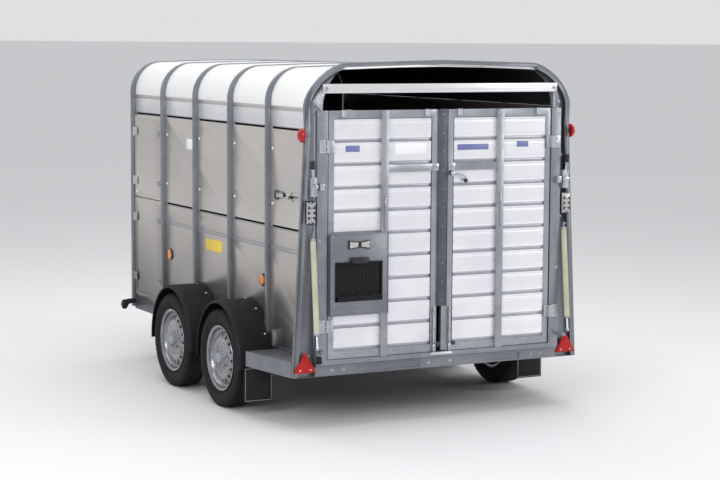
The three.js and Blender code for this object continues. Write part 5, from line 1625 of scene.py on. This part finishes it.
@dataclass
class PlateBoard:
    """The board on the left door with the number plate holder and its lamps."""

    def build(self) -> None:
        """Builds the board, the holder and both lamps."""
        low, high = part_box("number_plate_board")
        face = high.y - 0.004
        board = Shape()
        board.block((low.x, face, low.z), (high.x, high.y, high.z), 0.0012)
        for x0, x1, z0, z1 in ((low.x, high.x, low.z, low.z + 0.006),
                               (low.x, high.x, high.z - 0.006, high.z),
                               (low.x, low.x + 0.006, low.z, high.z),
                               (high.x - 0.006, high.x, low.z, high.z)):
            board.block((x0, face - 0.0025, z0), (x1, face + 0.001, z1), 0.001)
        board.block((low.x + 0.004, face - 0.0014, 0.764), (high.x - 0.004, face + 0.001, 0.769), 0.0006)
        add_piece("plate_board_sheet", board, FRAME_ZINC, "left_door",
                  ["number_plate_board"])
        x0, x1, z0, z1 = -0.782, -0.450, 0.812, 1.062
        holder = Shape()
        holder.block((x0, face - 0.006, z0), (x1, face - 0.0002, z1), 0.002)
        for a, b, c, d in ((x0, x1, z0, z0 + 0.036), (x0, x1, z1 - 0.013, z1), (x0, x0 + 0.013, z0, z1),
                           (x1 - 0.013, x1, z0, z1)):
            holder.block((a, face - 0.014, c), (b, face - 0.001, d), 0.0025)
        rib = Shape().block((x0 + 0.020, face - 0.0078, z0 + 0.050),
                            (x0 + 0.0225, face - 0.0052, z1 - 0.022), 0.0006).mesh("holder_rib")
        ribs = REPEAT.run(REPEAT.row, rib, MATT_BLACK, Count=13, Pitch=(0.0242, 0.0, 0.0))
        holder.bm.from_mesh(ribs)
        for x in (x0 + 0.070, (x0 + x1) / 2.0, x1 - 0.070):
            holder.block((x - 0.012, face - 0.0165, z0 + 0.030), (x + 0.012, face - 0.010, z0 + 0.048),
                         0.002)
        add_piece("plate_holder", holder, MATT_BLACK, "left_door")
        lamp = Shape()
        middle = (x0 + x1) / 2.0
        lamp.block((middle - 0.062, face - 0.032, z1 - 0.006), (middle + 0.062, face - 0.001, z1 + 0.028),
                   0.006)
        lamp.block((middle - 0.048, face - 0.034, z1 - 0.010), (middle + 0.048, face - 0.016, z1 + 0.012),
                   0.004)
        add_piece("plate_lamp", lamp, LAMP_BASE, "left_door")
        self.bow_tie_lamp(middle, face)
        rivets = [((x, face - 0.0004, z), REARWARD) for x in (low.x + 0.016, high.x - 0.016)
                  for z in (0.742, 0.88, 1.02, 1.14, 1.222)]
        REPEAT.fittings("plate_board_rivets", dome_head(0.004, 0.002), rivets, ZINC_BOLT, "left_door",
                        "bright_metal")

    def bow_tie_lamp(self, middle: float, face: float) -> None:
        """Draws the clear lamp over the holder, waisted at its middle."""
        z = 1.170
        half, tall, waist = 0.075, 0.029, 0.019
        outline = [(-half, -tall), (-0.012, -waist), (0.012, -waist), (half, -tall), (half, tall),
                   (0.012, waist), (-0.012, waist), (-half, tall)]
        base = Shape().prism([(middle + x, z + h) for x, h in outline], "Y", face, face - 0.012, 0.002)
        add_piece("bow_tie_lamp_base", base, LAMP_BASE, "left_door")
        lens = Shape()
        for s in (-1.0, 1.0):
            corners = [(middle + s * 0.012, z - waist + 0.006),
                       (middle + s * (half - 0.006), z - tall + 0.007),
                       (middle + s * (half - 0.006), z + tall - 0.007),
                       (middle + s * 0.012, z + waist - 0.006)]
            lens.prism(corners, "Y", face - 0.011, face - 0.018, 0.002)
        add_piece("bow_tie_lamp_lens", lens, CLEAR_LENS, "left_door")


# ------------------------------------------------------------------ running gear
@dataclass
class Wheel:
    """One road wheel: tyre, pressed steel rim, nuts and hub cap.

    Attributes:
        tag: Its place, such as rear_left.
        outward: Sign of X on its outer side.
    """

    tag: str
    outward: float
    tyre_radius: float = 0.328
    tyre_half: float = 0.086
    rim_radius: float = 0.207
    holes: int = 16
    studs: int = 5

    def centre(self) -> Vector:
        """Gives the middle of the tyre."""
        low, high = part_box("tyre_" + self.tag)
        return (low + high) / 2.0

    def place(self, mesh: bpy.types.Mesh) -> bpy.types.Mesh:
        """Moves a mesh made round the origin, facing +X, to this wheel."""
        turn = Matrix.Identity(4) if self.outward > 0.0 else Matrix.Rotation(math.pi, 4, "Z")
        mesh.transform(Matrix.Translation(self.centre()) @ turn)
        return mesh

    def build(self, rim: bpy.types.Mesh, tyre: bpy.types.Mesh, nuts: bpy.types.Mesh) -> None:
        """Places copies of the shared meshes on this wheel.

        Args:
            rim: The rim, round the origin and facing +X.
            tyre: The tyre.
            nuts: The wheel nuts and studs.
        """
        body = "wheel_" + self.tag
        add_piece(f"tyre_{self.tag}_surface", self.place(tyre.copy()), TYRE, body,
                  ["tyre_" + self.tag])
        add_piece(f"rim_{self.tag}_surface", self.place(rim.copy()), RIM_PAINT, body,
                  ["rim_" + self.tag])
        add_piece(f"wheel_nuts_{self.tag}", self.place(nuts.copy()), ZINC_BOLT, body)
        cap = Shape().turned([(0.0, 0.052), (0.034, 0.052), (0.034, 0.078), (0.030, 0.084), (0.020, 0.0872),
                              (0.0, 0.088)], (0.0, 0.0, 0.0), (1.0, 0.0, 0.0), 40)
        cap.turned([(0.034, 0.058), (0.0375, 0.058), (0.0375, 0.064), (0.034, 0.066)], (0.0, 0.0, 0.0),
                   (1.0, 0.0, 0.0), 40)
        add_piece(f"hub_cap_{self.tag}", self.place(cap.mesh("hub_cap")), HUB_CAP, body)


@dataclass
class RunningGear:
    """Wheels, axles, mudguards and flaps."""

    tread_blocks: int = 72

    def build(self) -> None:
        """Builds the running gear."""
        sample = Wheel("rear_right", 1.0)
        rim = self.rim_mesh(sample)
        tyre = self.tyre_mesh(sample)
        nuts = self.nut_mesh(sample)
        for axle in ("rear", "front"):
            refine("axle_" + axle, DARK_ZINC, 0.001)
            for name, s in SIDES:
                Wheel(f"{axle}_{name}", s).build(rim, tyre, nuts)
                self.mudguard(f"{axle}_{name}", s)
        for name, s in SIDES:
            self.flap(name, s)

    def tyre_mesh(self, wheel: Wheel) -> bpy.types.Mesh:
        """Makes the tyre: a grooved crown, shoulder blocks and ringed sidewalls."""
        r, half, bead = wheel.tyre_radius, wheel.tyre_half, wheel.rim_radius
        crown = []
        for x in (0.044, 0.016, -0.016, -0.044):
            crown += [(r - 0.001, x + 0.0035), (r - 0.008, x + 0.0025), (r - 0.008, x - 0.0025),
                      (r - 0.001, x - 0.0035)]
        wall = [(bead + 0.0006, 0.056), (0.222, 0.0665), (0.229, 0.0672), (0.232, 0.0652), (0.244, 0.0725),
                (0.256, 0.0795), (0.262, 0.0815), (0.264, half - 0.002), (0.268, half - 0.002),
                (0.270, 0.0828),
                (0.280, half - 0.001), (0.292, half - 0.001), (0.302, 0.0825), (0.312, 0.076)]
        outer = [*wall, (r - 0.006, 0.070), (r - 0.0015, 0.060)]
        profile = [*outer, *crown, *[(a, -b) for a, b in reversed(outer)]]
        shape = Shape().turned(profile, (0.0, 0.0, 0.0), (1.0, 0.0, 0.0), 96)
        block = Shape()
        for s in (-1.0, 1.0):
            block.block((s * 0.050, -0.0105, r - 0.012), (s * 0.0685, 0.0105, r - 0.0008), 0.0015)
            block.block((s * 0.066, -0.0085, r - 0.020), (s * 0.0768, 0.0085, r - 0.006), 0.0015)
            block.block((s * 0.022, -0.0110, r - 0.004), (s * 0.038, 0.0090, r), 0.0012)
        ring = REPEAT.run(REPEAT.ring, block.mesh("tread_block"), TYRE, Count=self.tread_blocks)
        shape.bm.from_mesh(ring)
        return shape.mesh("tyre", 28.0)

    def rim_mesh(self, wheel: Wheel) -> bpy.types.Mesh:
        """Makes the pressed rim with its ring of round holes."""
        bead = wheel.rim_radius
        profile = [(0.220, -0.073), (0.220, -0.068), (bead, -0.066), (bead - 0.001, -0.020),
                   (bead - 0.012, 0.000),
                   (bead - 0.012, 0.030), (bead, 0.045), (bead, 0.066), (0.219, 0.0675), (0.2205, 0.071),
                   (0.219, 0.073), (0.213, 0.072), (bead - 0.004, 0.064), (bead - 0.007, 0.046),
                   (bead - 0.016, 0.034), (0.182, 0.030), (0.172, 0.036), (0.160, 0.046), (0.148, 0.0535),
                   (0.130, 0.0575), (0.112, 0.0565), (0.100, 0.050), (0.090, 0.046), (0.078, 0.0465),
                   (0.060, 0.052), (0.046, 0.058), (0.034, 0.060), (0.030, 0.056), (0.030, 0.040),
                   (0.046, 0.048), (0.078, 0.040), (0.100, 0.043), (0.130, 0.051), (0.148, 0.047),
                   (0.172, 0.029), (0.186, 0.020), (bead - 0.018, -0.000), (bead - 0.006, -0.022),
                   (bead - 0.006, -0.071), (0.213, -0.0735)]
        rim = Shape().turned(profile, (0.0, 0.0, 0.0), (1.0, 0.0, 0.0), 120).mesh("rim", 40.0)
        drill = Shape().rod((0.0, 0.0, 0.152), (0.120, 0.0, 0.152), 0.0105, 20, edge=0.0).mesh("drill")
        drills = REPEAT.run(REPEAT.ring, drill, RIM_PAINT, Count=wheel.holes)
        return self.bored(rim, drills)

    @staticmethod
    def bored(solid: bpy.types.Mesh, drills: bpy.types.Mesh) -> bpy.types.Mesh:
        """Cuts drills out of a solid.

        Args:
            solid: The closed mesh to cut.
            drills: The closed meshes to cut with.

        Returns:
            The cut mesh.
        """
        base = bpy.data.objects.new("bore_base", solid)
        tool = bpy.data.objects.new("bore_tool", drills)
        for item in (base, tool):
            bpy.context.scene.collection.objects.link(item)
        modifier = base.modifiers.new("bore", "BOOLEAN")
        modifier.operation = "DIFFERENCE"
        modifier.solver = "EXACT"
        modifier.object = tool
        bpy.context.view_layer.update()
        graph = bpy.context.evaluated_depsgraph_get()
        made = bpy.data.meshes.new_from_object(base.evaluated_get(graph), depsgraph=graph)
        base.modifiers.remove(modifier)
        bpy.data.objects.remove(base)
        bpy.data.objects.remove(tool)
        made.polygons.foreach_set("use_smooth", [True] * len(made.polygons))
        made.set_sharp_from_angle(angle=math.radians(40.0))
        return made

    def nut_mesh(self, wheel: Wheel) -> bpy.types.Mesh:
        """Makes the ring of wheel nuts with their stud ends."""
        nut = Shape()
        nut.turned([(0.0, 0.044), (0.0125, 0.044), (0.0125, 0.050), (0.0, 0.050)], (0.0, 0.0, 0.056),
                   (1.0, 0.0, 0.0), 24)
        nut.rod((0.048, 0.0, 0.056), (0.064, 0.0, 0.056), 0.0108, 6, 0.0100)
        nut.rod((0.062, 0.0, 0.056), (0.070, 0.0, 0.056), 0.0058, 16)
        return REPEAT.run(REPEAT.ring, nut.mesh("wheel_nut", 25.0), ZINC_BOLT, Count=wheel.studs)

    def mudguard(self, tag: str, s: float) -> None:
        """Draws one moulded mudguard: an arch with straight legs and a broad rounded lip."""
        low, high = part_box("mudguard_" + tag)
        middle = (low.y + high.y) / 2.0
        half = (high.y - low.y) / 2.0
        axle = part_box("tyre_" + tag)
        hub = (axle[0].z + axle[1].z) / 2.0
        rise = high.z - hub
        inner = min(abs(low.x), abs(high.x))
        outer = max(abs(low.x), abs(high.x))
        section = [(inner, 0.0), (outer - 0.026, 0.0), (outer - 0.012, 0.0022), (outer - 0.0035, 0.0075),
                   (outer, 0.0150), (outer - 0.0015, 0.0215), (outer - 0.0055, 0.0222),
                   (outer - 0.0065, 0.0150),
                   (outer - 0.0105, 0.0085), (outer - 0.026, 0.0048), (inner, 0.0045)]
        steps = 48
        rings = []
        for k in range(-1, steps + 2):
            t = math.pi * min(max(k, 0), steps) / steps
            ring = []
            for x, inset in section:
                y = middle + (half - inset) * math.cos(t)
                z = hub + (rise - inset) * math.sin(t) if 0 <= k <= steps else low.z
                ring.append((s * x, y, z))
            rings.append(ring)
        shell = Shape().loft(rings)
        add_piece(f"mudguard_{tag}_surface", shell, GUARD, "trailer",
                  ["mudguard_" + tag], angle=45.0)
        heads = []
        for angle in (30.0, 62.0, 90.0, 118.0, 150.0):
            t = math.radians(angle)
            way = (0.0, math.cos(t) / half, math.sin(t) / rise)
            heads.append(((s * (inner + 0.040), middle + half * math.cos(t), hub + rise * math.sin(t)),
                          way))
        REPEAT.fittings(f"mudguard_bolts_{tag}", dome_head(0.009, 0.004), heads, ZINC_BOLT, "trailer",
                        "bright_metal")

    def flap(self, name: str, s: float) -> None:
        """Draws one plain mud flap with a pale border."""
        node = "mud_flap_" + name
        low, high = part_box(node)
        sheet = Shape().block(low, high, 0.002)
        add_piece(f"{node}_surface", sheet, RUBBER, "trailer", [node])
        border = Shape()
        face = low.y
        for inset, wide in ((0.007, 0.0035),):
            x0, x1, z0, z1 = low.x + inset, high.x - inset, low.z + inset, high.z - inset
            for a, b, c, d in ((x0, x1, z0, z0 + wide), (x0, x1, z1 - wide, z1), (x0, x0 + wide, z0, z1),
                               (x1 - wide, x1, z0, z1)):
                border.block((a, face - 0.0007, c), (b, face + 0.0005, d), 0.0003)
        add_piece(f"flap_border_{name}", border, GALVANISED, "trailer")


# ------------------------------------------------------------------ chassis and hitch
@dataclass
class Chassis:
    """The chassis, drawbar and everything at the coupling."""

    def build(self) -> None:
        """Builds the chassis and hitch."""
        refine("chassis_frame", DARK_ZINC, 0.001)
        refine("drawbar", GALVANISED, 0.0015)
        refine("jockey_tube", GALVANISED, 0.001)
        refine("jockey_leg", PLATED, 0.001)
        refine("jockey_crank", BLACK_METAL, 0.0)
        refine("brake_lever", BLACK_METAL, 0.001)
        self.coupling()
        self.jockey_wheel()
        self.crank_grip()

    def coupling(self) -> None:
        """Draws the coupling head, its bellows, handle and bolts."""
        refine("coupling_body", BLACK_METAL, 0.0015)
        refine("coupling_handle", PLATED, 0.0015)
        low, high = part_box("coupling_body")
        z = (low.z + high.z) / 2.0 + 0.006
        start = high.y - 0.300
        bellows = Shape()
        profile = [(0.030, 0.0)]
        for k in range(9):
            profile += [(0.0375, 0.006 + 0.012 * k), (0.0325, 0.012 + 0.012 * k)]
        profile += [(0.030, 0.114)]
        bellows.turned(profile, (0.0, start, low.z + 0.0597), (0.0, 1.0, 0.0), 40)
        add_piece("coupling_bellows", bellows, RUBBER, "trailer", angle=50.0)
        bolts = [((s * 0.030, low.y + y, low.z + 0.0455), UP) for s in (-1.0, 1.0) for y in (0.025, 0.085)]
        REPEAT.fittings("coupling_bolts", hex_head(0.009, 0.007), bolts, ZINC_BOLT, "trailer",
                        "bright_metal")
        grip_low, grip_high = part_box("coupling_handle")
        grip = Shape()
        middle = (grip_low.z + grip_high.z) / 2.0
        y = grip_low.y + 0.013
        grip.rod((grip_low.x - 0.001, y, middle), (grip_high.x + 0.001, y, middle), 0.0138, 28, edge=0.004)
        add_piece("handle_grip", grip, KNOB, "hitch_handle")
        LOG.debug("coupling stands %.3f m high at its middle", z)

    def jockey_wheel(self) -> None:
        """Draws the jockey wheel: ribbed tyre and pressed centre."""
        low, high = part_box("jockey_wheel")
        centre = (low + high) / 2.0
        half = (high.x - low.x) / 2.0
        radius = (high.z - low.z) / 2.0
        side = [(0.061, half - 0.003), (0.066, half - 0.0015), (0.084, half - 0.001),
                (radius - 0.006, half - 0.004), (radius, half - 0.010)]
        profile = [*side, (radius, 0.004), (radius - 0.003, 0.002), (radius - 0.003, -0.002),
                   (radius, -0.004), *[(a, -b) for a, b in reversed(side)]]
        tyre = Shape().turned(profile, tuple(centre), (1.0, 0.0, 0.0), 72)
        add_piece("jockey_tyre", tyre, RUBBER, "jockey_roller", ["jockey_wheel"])
        disc = Shape().turned([(0.0088, half), (0.016, half), (0.018, half - 0.009), (0.052, half - 0.011),
                               (0.056, half - 0.002), (0.061, half - 0.002), (0.061, 0.002 - half),
                               (0.056, 0.002 - half), (0.052, 0.011 - half), (0.018, 0.009 - half),
                               (0.016, -half), (0.0088, -half)], tuple(centre), (1.0, 0.0, 0.0), 56)
        add_piece("jockey_disc", disc, RIM_PAINT, "jockey_roller")

    def crank_grip(self) -> None:
        """Draws the turning grip on the jockey crank."""
        low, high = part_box("jockey_crank")
        x = (low.x + high.x) / 2.0
        y = low.y + 0.008
        grip = Shape().turned([(0.0, -0.002), (0.0125, -0.001), (0.0145, 0.006), (0.0125, 0.026),
                               (0.0142, 0.048),
                               (0.0125, 0.0545), (0.0, 0.056)], (x, y, high.z - 0.055), UP, 32)
        add_piece("crank_grip", grip, KNOB, "crank", angle=50.0)


# ------------------------------------------------------------------ studio
@dataclass
class Studio:
    """Camera, floor and light.

    Attributes:
        azimuth: Camera azimuth in degrees; nil looks straight forward.
        elevation: Camera height above level, in degrees.
        roll: Camera roll in degrees.
        lens: Focal length on a 36 mm wide sensor.
        place: Camera X, distance behind the rear plane, and height.
    """

    azimuth: float = -27.5549
    elevation: float = 6.0622
    roll: float = 0.3834
    lens: float = 95.05
    place: tuple[float, float, float] = (-6.1134, -10.5889, 2.4622)

    def build(self) -> None:
        """Builds the studio."""
        self.camera()
        self.floor()
        self.lights()

    def camera(self) -> None:
        """Sets up the camera."""
        a, e, r = (math.radians(value) for value in (self.azimuth, self.elevation, self.roll))
        right = Vector((math.cos(a), math.sin(a), 0.0))
        back = Vector((math.sin(a) * math.cos(e), -math.cos(a) * math.cos(e), math.sin(e)))
        up = back.cross(right)
        tilted_right = right * math.cos(r) + up * math.sin(r)
        tilted_up = up * math.cos(r) - right * math.sin(r)
        turn = Matrix((tilted_right, tilted_up, back)).transposed().to_4x4()
        x, y, z = self.place
        data = bpy.data.cameras.new("main_camera")
        data.sensor_fit = "HORIZONTAL"
        data.sensor_width = 36.0
        data.lens = self.lens
        data.clip_end = 2000.0
        camera = bpy.data.objects.new("main_camera", data)
        camera.matrix_world = Matrix.Translation((x, forward(y), z)) @ turn
        bpy.context.scene.collection.objects.link(camera)
        bpy.context.scene.camera = camera

    def floor(self) -> None:
        """Lays the plain pale floor."""
        mesh = bpy.data.meshes.new("studio_floor")
        reach = 900.0
        mesh.from_pydata([(-reach, -reach, 0.0), (reach, -reach, 0.0), (reach, reach, 0.0),
                          (-reach, reach, 0.0)],
                         [], [(0, 1, 2, 3)])
        floor = bpy.data.objects.new("studio_floor", mesh)
        bpy.context.scene.collection.objects.link(floor)
        material = bpy.data.materials.new("studio_floor_paint")
        material.use_nodes = True
        shader = material.node_tree.nodes["Principled BSDF"]
        shader.inputs["Base Color"].default_value = srgb(224, 224, 225)
        shader.inputs["Roughness"].default_value = 0.75
        mesh.materials.append(material)

    def lights(self) -> None:
        """Sets the even world light and the soft boxes."""
        world = bpy.data.worlds.new("studio_world")
        world.use_nodes = True
        light = world.node_tree.nodes["Background"]
        light.inputs["Color"].default_value = srgb(228, 229, 231)
        light.inputs["Strength"].default_value = 0.95
        bpy.context.scene.world = world
        bpy.context.scene.view_settings.view_transform = "Standard"
        boxes = (("overhead", (0.0, 0.0, 7.0), (0.0, 0.0, 0.0), (7.0, 9.0), 300.0),
                 ("left_rear", (-6.5, -7.0, 4.2), (0.0, -1.0, 1.0), (4.5, 3.0), 250.0),
                 ("right_rear", (6.0, -6.5, 3.4), (0.5, -1.5, 1.0), (3.0, 3.0), 120.0))
        for name, place, aim, size, power in boxes:
            data = bpy.data.lights.new(name, "AREA")
            data.shape = "RECTANGLE"
            data.size = size[0]
            data.size_y = size[1]
            data.energy = power
            lamp = bpy.data.objects.new(name, data)
            way = Vector(aim) - Vector(place)
            lamp.matrix_world = Matrix.Translation(place) @ way.to_track_quat("-Z",
                                                                              "Y").to_matrix().to_4x4()
            bpy.context.scene.collection.objects.link(lamp)


def main() -> None:
    """Builds every sub-assembly in order."""
    logging.basicConfig(level=logging.INFO, format="%(name)s %(message)s")
    builders: tuple[Callable[[], None], ...] = (
        Studio().build,
        Shell().build,
        SideDoors().build,
        GateCatch().build,
        RearFrame().build,
        Ramp().build,
        RearDoors().build,
        RunningGear().build,
        Chassis().build,
    )
    for build in builders:
        build()


if __name__ == "__main__":
    main()
